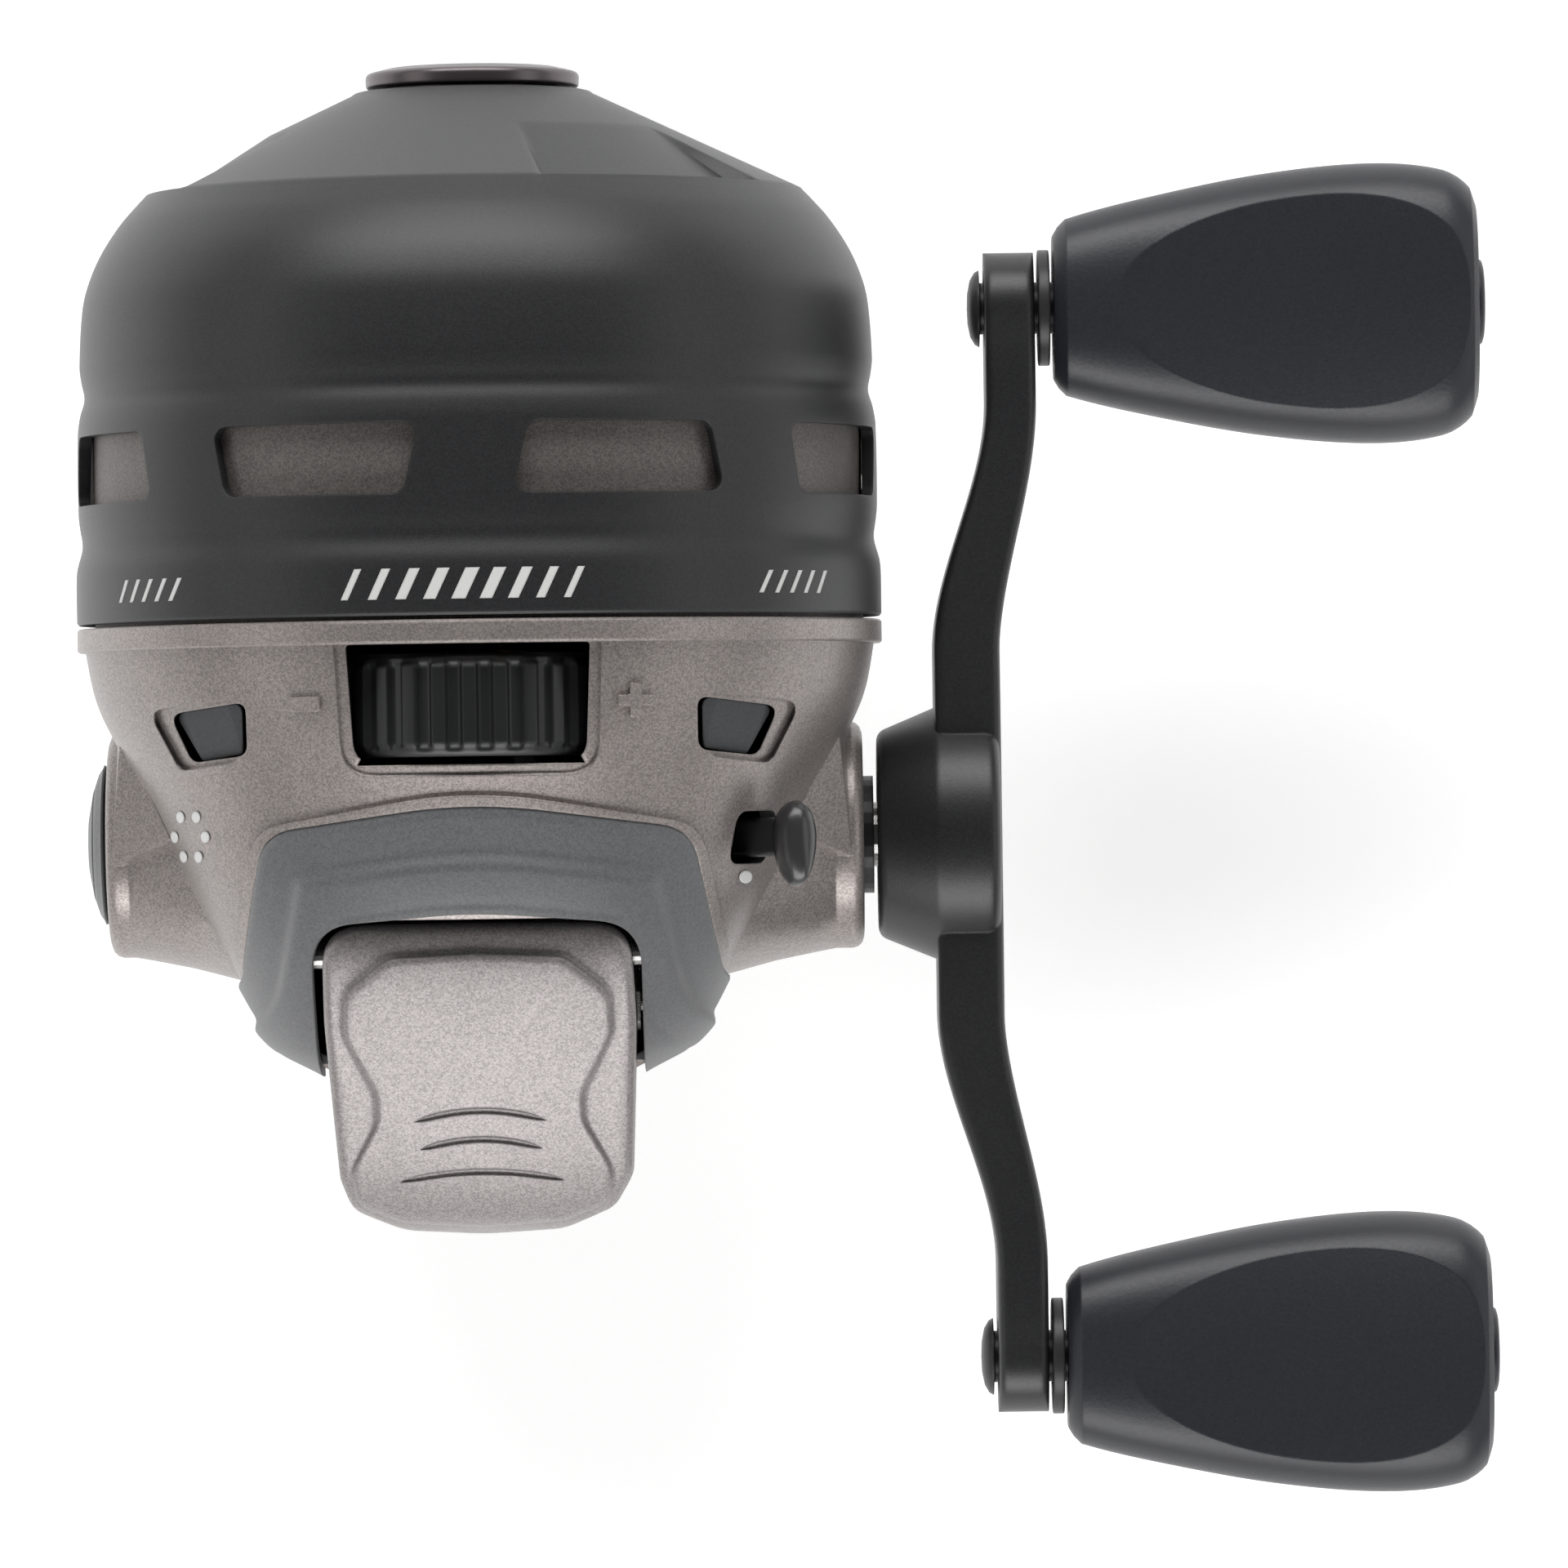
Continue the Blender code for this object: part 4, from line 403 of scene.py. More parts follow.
def housing_point(y, angle, grow):
    """A point of the housing's surface at y and an angle from +X, moved outwards by grow mm."""
    ys = [s[0] for s in SECTIONS]
    wide, top, low, power = (curve_at(ys, [s[k] for s in SECTIONS], y / MM)
                             for k in (1, 2, 3, 4))
    c, s = cos(angle), sin(angle)
    rise = top if s >= 0 else low
    x = (wide + grow) * signed_power(c, 2 / power)
    z = (rise + grow) * signed_power(s, 2 / power)
    return Vector((x * MM, y, REEL_Z + z * MM))


def housing_ring(y, grow, count=144):
    return [housing_point(y, 2 * pi * i / count, grow) for i in range(count)]


def housing_loft(name, front, back, steps, grow, count=144, material=None):
    """The housing's surface from front to back, in mm, moved outwards by grow mm."""
    return loft(name, [housing_ring(y, grow, count)
                       for y in spread(front * MM, back * MM, steps)], material)


def side_prism(name, floor, one, other):
    """A prism along X over a floor of (y, height above the button's hinge) points, in mm."""
    points = [(y * MM, BUTTON_Z + h * MM) for y, h in floor]
    top = REEL_Z + 45 * MM
    outline = points + [(points[-1][0], top), (points[0][0], top)]
    return loft(name, [[Vector((x * MM, y, z)) for y, z in outline] for x in (one, other)])


def ring_prism(name, centre, radius, low, high, axis, steps=64):
    """A round cutter along an axis."""
    profile = [(0, low), (radius, low), (radius, high), (0, high)]
    return turned(name, profile, None, axis, centre, steps)


def vent_outline(side):
    """The opening of a vent, seen from above."""
    corners = [(16.9, 10.7), (16.9, 6.7), (21.3, 6.2), (23.0, 9.9)]
    return [(side * x * MM, y * MM)
            for x, y in rounded(corners, [0.8, 0.9, 0.9, 0.8], 6)]


def vent_recess(side):
    """The shallow band outside a vent's outer edge."""
    corners = [(17.6, 11.0), (17.6, 6.2), (22.3, 5.6), (24.7, 10.2)]
    return [(side * x * MM, y * MM) for x, y in rounded(corners, 0.9, 5)]


def make_housing():
    """The painted housing: its skin, bosses, pedestal, window, button well and slots."""
    stations = spread(FLANGE_Y, -23.4 * MM, 70)
    outside = [housing_ring(y, 0.0) for y in stations]
    outside += [housing_ring(-23.65 * MM, -0.35), housing_ring(-23.8 * MM, -1.0)]
    inside = [housing_ring(y, -1.8) for y in spread(FLANGE_Y, -21.6 * MM, 24)]
    shell = loft("housing_skin", inside[::-1] + outside, TITANIUM)
    for side, face in ((1, 29.4 * MM), (-1, 29.0 * MM)):
        add_boss(shell, side, face)
    add_pedestal(shell)
    cut_dial_window(shell)
    cut_button_well(shell)
    for side in (1, -1):
        recess_band(shell, side)
        boolean(shell, prism("vent", vent_outline(side), 44 * MM, 80 * MM))
    lean = LEVER_LEAN - radians(6.5)
    place = Matrix.Translation(LEVER_PIVOT) @ Matrix.Rotation(lean, 4, "Y")
    slot_outline = rounded(rectangle(2.8 * MM, 2.0 * MM), 1.2 * MM, 6)
    boolean(shell, prism("slot", slot_outline, 4 * MM, 18 * MM, place))
    # Painted shade: the housing's inner faces get a dark grey.
    paint_inner_shade(shell)
    piece(shell, "housing", "body_shell")


def paint_inner_shade(shell):
    """Gives the housing's inner faces the dark vent grey as painted shade inside the hollow
    housing.
    """
    shell.data.materials.append(VENT_GREY)
    ys = [s[0] for s in SECTIONS]
    for face in shell.data.polygons:
        x, y, z = face.center / MM
        if y > 15.3 or y < -21.5 or z < 14.0 or abs(x) > 26.5:
            continue
        wide, top, low, power = (curve_at(ys, [s[k] for s in SECTIONS], y)
                                 for k in (1, 2, 3, 4))
        rise = (top if z > 40 else low) - 0.5
        inside = abs(x / (wide - 0.5)) ** power + abs((z - 40) / rise) ** power
        if inside < 1.0:
            face.material_index = 1


def add_boss(shell, side, face):
    """The round crank boss with the wedge-shaped fairing that carries it to the flank."""
    count = 72
    rings = []
    for x, half_y, top, low, power, back in (
            (16.0, 11.6, 17.5, 15.5, 3.4, 0.4), (19.0, 10.9, 15.0, 13.6, 3.2, 0.3),
            (22.5, 9.9, 12.2, 11.4, 2.7, 0.2), (25.8, 9.1, 9.8, 9.6, 2.25, 0.05),
            (27.2, 8.8, 8.8, 8.8, 2.0, 0.0)):
        ring = []
        for i in range(count):
            a = 2 * pi * i / count
            c, s = cos(a), sin(a)
            y = half_y * signed_power(c, 2 / power) + back
            z = (top if s >= 0 else low) * signed_power(s, 2 / power)
            ring.append(Vector((side * x * MM, y * MM, CRANK_Z + z * MM)))
        rings.append(ring)
    for inset, x in ((0.0, face - 0.9 * MM), (0.12, face - 0.5 * MM), (0.4, face - 0.2 * MM),
                     (0.85, face - 0.03 * MM), (1.3, face)):
        ring = []
        for i in range(count):
            a = 2 * pi * i / count
            r = (8.8 - inset) * MM
            ring.append(Vector((side * x, r * cos(a), CRANK_Z + r * sin(a))))
        rings.append(ring)
    boolean(shell, loft("boss", rings), "UNION")
    boolean(shell, gusset(side), "UNION")
    boolean(shell, ring_prism("boss_bore", (0, 0, CRANK_Z), 5.3 * MM, side * 14 * MM,
                              side * 32 * MM, "X"))


def gusset(side):
    """The flat wedge between the flank of the housing and the outer end of the boss."""
    corners = ((28.3, 8.3, 37.0), (27.5, 8.6, 45.6), (23.7, 0.4, 47.4), (28.5, -1.6, 43.15),
               (18.0, 8.0, 45.0), (18.0, 0.0, 46.0), (18.0, 8.0, 36.0), (18.0, -1.0, 36.0),
               (28.4, 0.0, 38.0))
    work = bmesh.new()
    for x, y, z in corners:
        work.verts.new((side * x * MM, y * MM, z * MM))
    hull = bmesh.ops.convex_hull(work, input=work.verts[:])
    loose = [v for v in hull["geom_interior"] + hull["geom_unused"]
             if isinstance(v, bmesh.types.BMVert) and not v.link_faces]
    bmesh.ops.delete(work, geom=loose, context="VERTS")
    mesh = bpy.data.meshes.new("gusset")
    work.to_mesh(mesh)
    work.free()
    return in_scene(bpy.data.objects.new("gusset", mesh))


def add_pedestal(shell):
    """The stem that carries the housing on its foot, flared towards the bowl."""
    rings = []
    for z, half_x, half_y in ((6.9, 5.5, 12.5), (8.0, 5.45, 12.3), (9.5, 5.5, 12.3),
                              (11.5, 5.8, 12.5), (13.5, 6.5, 13.0), (15.0, 7.4, 13.4),
                              (17.0, 8.2, 13.4), (20.0, 8.4, 13.0)):
        rings.append(square_ring(half_x, half_y, z))
    boolean(shell, loft("pedestal", rings), "UNION")
    boolean(shell, housing_loft("pedestal_clear", 10, -18, 16, -1.75))


def cut_dial_window(shell):
    """Opens the drag dial's window and clears room for the dial."""
    outline = rounded(DIAL_WINDOW, [0.3, 0.3, 1.8, 1.8], 8)
    lip = rounded([(-10.1, 15.0), (9.9, 15.0), (9.5, 5.0), (-9.6, 5.0)],
                  [0.3, 0.3, 2.6, 2.6], 8)
    boolean(shell, prism("window", in_mm(outline), 50 * MM, 80 * MM))
    # A soft lip: a shallow step that follows the housing's surface round the window
    band = housing_loft("lip_band", 16, 3, 20, 0.6)
    boolean(band, housing_loft("lip_core", 17, 2, 20, -0.28))
    boolean(band, prism("lip_plan", in_mm(lip), 50 * MM, 80 * MM), "INTERSECT")
    boolean(shell, band)
    boolean(shell, ring_prism("dial_recess", (0, 0, DIAL_Z), 11.85 * MM, 5.8 * MM, 14.7 * MM,
                              "Y", 96))


def cut_button_well(shell):
    """Makes room for the thumb button, its skirts and its pusher."""
    boolean(shell, side_prism("well", [(-5.8, 2.0), (-17.0, -1.8), (-22.0, -7.2),
                                       (-24.5, -12.5), (-34.0, -18.0)], -12.4, 12.4))
    for side in (1, -1):
        boolean(shell, side_prism("skirt", [(-5.6, -6.5), (-17.0, -12.0), (-24.0, -19.5),
                                            (-36.0, -19.5)], side * 9.7, side * 12.56))
    outline = [(-3.75, -22.5), (3.75, -22.5), (3.75, -14), (-3.75, -14)]
    boolean(shell, prism("pusher_way", in_mm(outline), 37 * MM, 63 * MM))


def recess_band(shell, side):
    """Sinks the shallow band beside a vent."""
    band = housing_loft("vent_band", 14, 3, 16, 0.6)
    boolean(band, housing_loft("vent_core", 15, 2, 16, -0.45))
    boolean(band, prism("vent_plan", vent_recess(side), 40 * MM, 80 * MM), "INTERSECT")
    boolean(shell, band)


def make_collar():
    """The flange the cover seats on and the collar behind its windows, darker there as painted
    shade.
    """
    inner, outer = 28.3 * MM, 29.6 * MM
    seat = COVER_R - 0.15 * MM
    profile = [(inner, 12.9 * MM), (outer, 12.9 * MM), (outer, 14.8 * MM), (seat, 14.8 * MM),
               (COVER_R, 14.95 * MM), (COVER_R, 16.45 * MM), (seat, 16.6 * MM),
               (outer, 16.6 * MM), (outer, 32.3 * MM), (outer - 0.3 * MM, 32.6 * MM),
               (inner, 32.6 * MM)]
    collar = turned("collar", profile, COLLAR_SHADED_TITANIUM, "Y", (0, 0, REEL_Z), 200)
    # Painted shade: the wall inside the cover, behind its windows, gets the titanium paint at
    # half brightness; the flange behind y 16.7 mm keeps the titanium paint.
    collar.data.materials.append(TITANIUM)
    for face in collar.data.polygons:
        face.material_index = int(face.center.y < 16.7 * MM)
    boolean(collar, prism("window", in_mm(DIAL_WINDOW), 55 * MM, 80 * MM))
    piece(collar, "housing", angle=40)


REAR_OUTLINE = rounded([(-15.9, 0.8), (0, 3.0), (16.3, 0.8), (18.6, -10.8), (25.0, -12.4),
                        (25.0, -30.0), (-25.0, -30.0), (-25.0, -12.4), (-18.3, -10.8)],
                       [3.4, 40, 3.4, 2.0, 0, 0, 0, 0, 2.0], 10)


def outline_gap(outline, x, y):
    """The distance from a point to an outline's edges."""
    here = Vector((x, y))
    best = 1e9
    for i, p in enumerate(outline):
        a = Vector(p)
        b = Vector(outline[(i + 1) % len(outline)])
        way = b - a
        if way.length_squared < 1e-12:
            continue
        t = min(1.0, max(0.0, (here - a).dot(way) / way.length_squared))
        best = min(best, (here - a - way * t).length)
    return best


def make_rear_cover():
    """The soft-touch saddle: an outer band, a raised inner band and a rounded inner edge."""
    count = 240
    rings = []
    for y in spread(4.5 * MM, -19.5 * MM, 97):
        ring = []
        for i in range(count):
            angle = 2 * pi * i / count
            base = housing_point(y, angle, 0.0)
            grow = 0.5
            if base.z > REEL_Z - 6 * MM:
                away = outline_gap(REAR_OUTLINE, base.x / MM, y / MM)
                grow = 0.28 + 0.32 * ease(0.0, 0.7, away) + 0.80 * ease(3.1, 4.7, away)
                grow -= 0.10 * ease(7.0, 7.15, away) * (1 - ease(7.35, 7.5, away))
            ring.append(housing_point(y, angle, grow))
        rings.append(ring)
    cover = loft("rear_saddle", rings, SOFT_GREY)
    boolean(cover, prism("rear_plan", in_mm(REAR_OUTLINE), 30.13 * MM, 80 * MM), "INTERSECT")
    boolean(cover, side_prism("rear_reach", [(6, -12.2), (-8.5, -12.2), (-24.6, -20.0)],
                              -30, 30), "INTERSECT")
    boolean(cover, housing_loft("rear_core", 6, -21, 50, -0.5))
    opening = rounded([(-12.4, -6.3), (0, -5.3), (12.4, -6.3), (12.4, -30), (-12.4, -30)],
                      [3.6, 40, 3.6, 0, 0], 10)
    boolean(cover, prism("opening", in_mm(opening), 30 * MM, 80 * MM))
    piece(cover, "housing", "rear_cover", angle=38)


def make_rim():
    """The raised painted lip of the housing round the rear saddle."""
    rim = housing_loft("saddle_rim", 6, -13, 60, 0.40, material=TITANIUM)
    boolean(rim, housing_loft("rim_core", 8, -15, 40, -0.5))
    wide = []
    for x, y in REAR_OUTLINE:
        away = Vector((x, y + 6.0)).normalized()
        wide.append((x + away.x * 0.85, y + away.y * 0.85))
    boolean(rim, prism("rim_plan", in_mm(wide), 50 * MM, 80 * MM), "INTERSECT")
    boolean(rim, prism("rim_inner", in_mm(REAR_OUTLINE), 40 * MM, 90 * MM))
    back = [(-30, -10.5), (30, -10.5), (30, -40), (-30, -40)]
    boolean(rim, prism("rim_end", in_mm(back), 20 * MM, 90 * MM))
    piece(rim, "housing", angle=38)


# ---------------------------------------------------------------- front cover

COVER_PROFILE = (
    (16.9, 31.0), (20.2, 31.0), (21.2, 30.92), (22.9, 30.5), (24.4, 30.68), (25.5, 30.78),
    (31.6, 30.75), (33.0, 30.55), (34.3, 30.2), (35.6, 30.42), (36.8, 30.55), (40.9, 30.3),
    (42.8, 29.9), (45.2, 28.9), (47.6, 27.35), (49.2, 25.95), (49.8, 25.35), (50.3, 24.6),
)


def cover_radius(y):
    """The cover's radius up to the start of its cone."""
    return curve_at([p[0] for p in COVER_PROFILE], [p[1] for p in COVER_PROFILE], y)


def scoop_depth(angle, radius):
    """How deep the finger scoops are at an angle from the top and a radius on the cone."""
    depth = 0.0
    for middle in (37.0, 157.0, -83.0):
        away = abs((angle - middle + 180.0) % 360.0 - 180.0)
        across = 1.0 - ease(22.0, 24.0, away)
        along = min(1.0, max(0.0, (radius - 15.8) / 9.2))
        end = 1.0 - ease(24.75, 25.25, radius)
        depth = max(depth, 1.3 * across * along * end)
    return depth


def make_cover():
    """The front cover: ridged bowl, cone with three scoops, and eight windows."""
    steps = 480
    path = [(cover_radius(y), y) for y in spread(17.1, 49.7, 110)]
    cone_r, cone_y = 25.3, 49.9
    slope = (57.6 - cone_y) / (cone_r - 9.0)
    lean = atan2(slope, 1.0)
    path += [(r, cone_y + (cone_r - r) * slope) for r in spread(cone_r, 9.4, 46)]
    path += [(9.1, 57.62), (8.8, 57.7), (6.8, 57.7), (6.8, 56.2)]
    inner = [(12.0, 54.2), (23.4, 47.9), (26.6, 45.2), (29.0, 40.0), (29.75, 32.0),
             (30.1, 17.1), (30.2, 16.9), (30.85, 16.9)]
    rings = []
    for i in range(steps):
        angle = 2 * pi * i / steps
        ring = []
        for k, (r, y) in enumerate(path + inner):
            drop = 0.0
            if k < len(path) and 10.0 < r < 25.4 and y > 49.0:
                drop = scoop_depth(angle * 180 / pi, r)
            near = r - drop * sin(lean)
            ring.append(Vector((near * sin(angle) * MM, (y - drop * cos(lean)) * MM,
                                REEL_Z + near * cos(angle) * MM)))
        rings.append(ring)
    cover = loft("cover_skin", rings, SOFT_BLACK, loop=True)
    for i in range(8):
        front, rear = (17.0, 14.6) if i % 2 else (14.6, 17.0)
        outline = rounded([(-front / 2, 2.65), (front / 2, 2.65), (rear / 2, -2.65),
                           (-rear / 2, -2.65)], 1.2, 8)
        angle = 2 * pi * (i + 0.5) / 8
        place = (Matrix.Translation((0, 28.65 * MM, REEL_Z)) @ Matrix.Rotation(angle, 4, "Y"))
        boolean(cover, prism("window", in_mm(outline), 27 * MM, 36 * MM, place))
    piece(cover, "housing", "front_cover", angle=35)


def band_mark(name, outlines, radius, middle, lift=0.05):
    """Printed marks wrapped round the cover, from outlines of (arc, y) corners in mm."""
    verts = []
    faces = []
    for outline in outlines:
        start = len(verts)
        count = len(outline)
        for level in (-0.12, lift):
            for arc, y in outline:
                a = middle + arc / radius
                r = (radius + level) * MM
                verts.append(Vector((r * sin(a), y * MM, REEL_Z + r * cos(a))))
        faces.append(tuple(range(start + count, start + 2 * count)))
        faces.append(tuple(range(start + count - 1, start - 1, -1)))
        for i in range(count):
            j = (i + 1) % count
            faces.append((start + i, start + j, start + count + j, start + count + i))
    made = new_object(name, verts, faces, PRINT_WHITE)
    piece(made, "housing")


def slanted_bar(arc, low, high, width, slant=1.1):
    return [(arc, low), (arc + width, low), (arc + width + slant, high), (arc + slant, high)]


def make_band_marks():
    """Plain slanted bars on the cover's rear band."""
    centre = []
    for k in range(9):
        centre.append(slanted_bar(-9.6 + 2.1 * k, 18.1, 20.4, 0.55 + 0.13 * min(k, 8 - k)))
    band_mark("band_bars_centre", centre, 31.0, 0.0)
    for name, middle in (("band_bars_left", -radians(52)), ("band_bars_right", radians(52))):
        bars = [slanted_bar(-4.2 + 1.7 * k, 18.4, 20.1, 0.45) for k in range(5)]
        band_mark(name, bars, 31.0, middle)


def make_nose_ring():
    """The line eyelet at the tip of the front cover."""
    y = 57.7 + 0.3
    profile = rounded([(3.4, 55.1), (3.4, y + 0.75), (4.3, y + 1.5), (6.6, y + 1.5),
                       (8.25, y + 1.1), (8.2, y), (6.5, y), (6.5, 55.1)],
                      [0.2, 0.8, 0.6, 0.5, 0.5, 0.25, 0.1, 0.2], 6)
    ring = turned("nose_eyelet", in_mm(profile), GUNMETAL, "Y", (0, 0, REEL_Z))
    piece(ring, "housing", "nose_ring", angle=50)


# ---------------------------------------------------------------- thumb button

TOP_Y = (-30.1, -29.4, -28.3, -25.0, -21.0, -17.0, -12.5, -9.0, -7.2, -6.3)
TOP_H = (-9.4, -6.6, -5.0, -2.2, 0.45, 2.8, 5.05, 6.45, 6.75, 6.5)
LOW_Y = (-30.2, -27.0, -11.0, -6.3)
LOW_H = (-11.6, -11.6, -2.4, -1.2)
BUTTON_PLAN = rounded([(-11.6, -6.2), (0, -6.0), (11.6, -6.2), (11.95, -13.5), (11.4, -25.6),
                       (10.0, -28.0), (6.0, -29.75), (0, -30.15), (-6.0, -29.75),
                       (-10.0, -28.0), (-10.85, -25.6), (-11.6, -13.5)],
                      [3.2, 30, 3.2, 20, 2, 2.2, 5, 20, 5, 2.2, 2, 20], 8)
PAD_PLAN = rounded([(-6.6, -8.75), (0, -8.4), (6.6, -8.75), (9.9, -11.4), (10.0, -14.6),
                    (7.7, -19.0), (7.7, -21.2), (9.75, -24.9), (9.6, -27.5), (6.0, -28.9),
                    (0, -29.3), (-6.0, -28.9), (-9.6, -27.5), (-9.75, -24.9),
                    (-7.7, -21.2), (-7.7, -19.0), (-10.0, -14.6), (-9.9, -11.4)], 2.4, 8)


def ray_radius(outline, centre, angle):
    """How far an outline lies from a centre in one direction."""
    way = Vector((cos(angle), sin(angle)))
    best = 0.0
    for i, p in enumerate(outline):
        a = Vector(p) - centre
        edge = Vector(outline[(i + 1) % len(outline)]) - centre - a
        cross = way.x * edge.y - way.y * edge.x
        if abs(cross) < 1e-12:
            continue
        t = (a.x * edge.y - a.y * edge.x) / cross
        u = (a.x * way.y - a.y * way.x) / cross
        if t > 0 and -1e-9 <= u <= 1 + 1e-9:
            best = max(best, t)
    return best


def button_height(y):
    return curve_at(TOP_Y, TOP_H, y)


def make_button():
    """The hollow thumb button: rounded shoulders, a raised waisted pad, three grooves."""
    count = 288
    centre = Vector((0.0, -18.4))
    angles = [2 * pi * i / count for i in range(count)]
    edge = [ray_radius(BUTTON_PLAN, centre, a) for a in angles]
    pad = [ray_radius(PAD_PLAN, centre, a) for a in angles]
    rings = []

    def add(radii, lift, floor=None):
        ring = []
        for a, r in zip(angles, radii):
            x = centre.x + r * cos(a)
            y = centre.y + r * sin(a)
            if floor is None:
                h = button_height(y) + lift - BUTTON_CROWN * x * x
            else:
                h = curve_at(LOW_Y, LOW_H, y) + floor
            ring.append(Vector((x * MM, y * MM, BUTTON_Z + h * MM)))
        rings.append(ring)

    # The raised pad, its step and the shoulder out to the button's edge
    for share in (0.015, 0.15, 0.3, 0.45, 0.6, 0.75, 0.87, 0.94):
        add([p * share for p in pad], 0.50 + 0.14 * share ** 2)
    for grow, lift in ((-0.22, 0.62), (-0.06, 0.54), (0.06, 0.38), (0.18, 0.14)):
        add([p + grow for p in pad], lift)
    add([min(p + 0.38, e - 0.75) for e, p in zip(edge, pad)], 0.02)
    add([min(p + 0.62, e - 0.70) for e, p in zip(edge, pad)], -0.02)
    for share in (0.35, 0.7):
        add([min(p + 0.62, e - 0.70) * (1 - share) + (e - 0.66) * share
             for e, p in zip(edge, pad)], -0.02)
    for inset, drop in ((0.62, 0.03), (0.38, 0.16), (0.18, 0.36), (0.05, 0.62), (0.0, 1.0)):
        add([e - inset for e in edge], -drop)
    # The sides, waisted in the middle, and then the hollow underside
    for share in (0.2, 0.4, 0.6, 0.8):
        ring = []
        for a, e in zip(angles, edge):
            x = centre.x + e * cos(a)
            y = centre.y + e * sin(a)
            top = button_height(y) - 1.0 - BUTTON_CROWN * x * x
            low = curve_at(LOW_Y, LOW_H, y)
            h = min(top, top + (low - top) * share)
            waist = 0.55 * sin(pi * share) * ease(6.0, 10.0, abs(x))
            waist *= ease(-28.0, -24.0, y) * (1 - ease(-17.0, -11.0, y))
            x -= waist * (1 if x > 0 else -1)
            ring.append(Vector((x * MM, y * MM, BUTTON_Z + h * MM)))
        rings.append(ring)
    for inset, floor in ((0.0, 0.12), (0.15, 0.0), (1.15, 0.0), (1.3, 0.12)):
        add([e - inset for e in edge], 0.0, floor)
    add([e - 1.3 for e in edge], -3.1)
    add([e - 2.2 for e in edge], -2.0)
    add([e * 0.5 for e in edge], -1.7)
    add([e * 0.02 for e in edge], -1.7)
    button = loft("thumb_pad", rings, BUTTON_PAINT)
    for half, end, apex in ((4.95, -21.15, -20.35), (4.6, -23.3, -22.55), (6.3, -25.8, -25.05)):
        cut_groove(button, half, end, apex)
    piece(button, "button", "thumb_button", angle=50)


def cut_groove(button, half, end, apex):
    """An arched groove across the pad with a round bottom and round ends."""
    rings = []
    for x in spread(-half, half, 41):
        y = end + (apex - end) * (1 - (x / half) ** 2)
        slope = -2 * (apex - end) * x / half ** 2
        along = Vector((1.0, slope, 0.0)).normalized()
        level = BUTTON_Z + (button_height(y) + 0.50 - BUTTON_CROWN * x * x) * MM
        thin = max(0.12, 1.0 - (abs(x) / half) ** 8)
        across = Vector((-along.y, along.x, -0.55 * along.x)).normalized()
        up = along.cross(across)
        ring = []
        for i in range(16):
            a = 2 * pi * i / 16
            ring.append(Vector((x * MM, y * MM, level))
                        + across * 0.24 * MM * thin * cos(a)
                        + up * 0.34 * MM * thin * sin(a))
        rings.append(ring)
    boolean(button, loft("groove", rings))


# ---------------------------------------------------------------- crank and knobs

def make_arm():
    """The stepped double arm with its domed hub and round knob ends."""
    end_r = 4.3
    stations = spread(0, 36.0, 60) + [ARM_REACH_MM + end_r * sin(a) for a in
                                      spread(atan2(-4.7, end_r), pi / 2 - 0.02, 22)]
    rings = []
    for sign in (-1, 1):
        order = stations[1:][::-1] if sign < 0 else stations
        for y in order:
            step = ease(14.0, 33.5, y)
            inner = 35.0 + 4.3 * step
            thick = 5.1 - 1.2 * ease(16.0, 34.0, y)
            half = 6.3 - 1.75 * ease(4.0, 32.0, y)
            lobe = y - ARM_REACH_MM
            if lobe > 0:
                half = min(half, (max(0.0, end_r ** 2 - lobe ** 2)) ** 0.5)
            elif lobe > -end_r:
                half = min(half, half - (half - end_r) * ease(-end_r, 0.0, lobe))
            half = max(half, 0.35)
            outline = rounded([(inner, -half), (inner + thick, -half), (inner + thick, half),
                               (inner, half)],
                              min(0.95, half * 0.6), 6)
            rings.append([Vector((x * MM, sign * y * MM, CRANK_Z + z * MM))
                          for x, z in outline])
    arm = loft("crank_arm", rings, ARM_BLACK)
    profile = rounded([(0, 30.5), (7.9, 30.5), (9.85, 35.2), (9.85, 39.9), (0, 40.3)],
                      [0, 1.1, 1.6, 1.2, 0], 8)
    boolean(arm, turned("hub", in_mm(profile), None, "X", (0, 0, CRANK_Z), 128), "UNION")
    boolean(arm, ring_prism("screw_seat", (0, 0, CRANK_Z), 4.0 * MM, 37.5 * MM, 42 * MM, "X"))
    boolean(arm, ring_prism("arm_bore", (0, 0, CRANK_Z), 2.8 * MM, 29 * MM, 37.6 * MM, "X"))
    for side in (1, -1):
        boolean(arm, ring_prism("pin_bore", (0, side * ARM_REACH, CRANK_Z), 2.3 * MM,
                                36 * MM, 46 * MM, "X"))
    piece(arm, "crank", "handle_arm", angle=35)


def make_handle_screw():
    """The handle screw: a domed head with a cross recess."""
    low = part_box("handle_screw")[0]
    head = (35.0 + 2.2 + 0.6) * MM
    profile = [(0, low.x), (1.2, low.x), (1.2, head), (3.6, head), (3.6, head + 1.3 * MM),
               (3.3, head + 1.7 * MM), (2.6, head + 2.0 * MM), (0, head + 2.15 * MM)]
    screw = turned("crank_screw", radial(profile), STEEL, "X", (0, 0, CRANK_Z), 72)
    for turn in (0.0, pi / 2):
        place = (Matrix.Translation((head + 2.0 * MM, 0, CRANK_Z))
                 @ Matrix.Rotation(turn, 4, "X"))
        boolean(screw, prism("cross", rectangle(1.0 * MM, 0.45 * MM), -1.9 * MM, 1.9 * MM, place))
    piece(screw, "crank", "handle_screw", angle=35)


KNOB_X = (0.0, 0.03, 0.25, 0.5, 0.75, 0.92, 0.985, 1.0)
KNOB_WIDE = (0.56, 0.63, 0.795, 0.935, 1.0, 0.95, 0.83, 0.70)
KNOB_THICK = (0.70, 0.80, 0.88, 0.96, 1.0, 0.95, 0.85, 0.76)


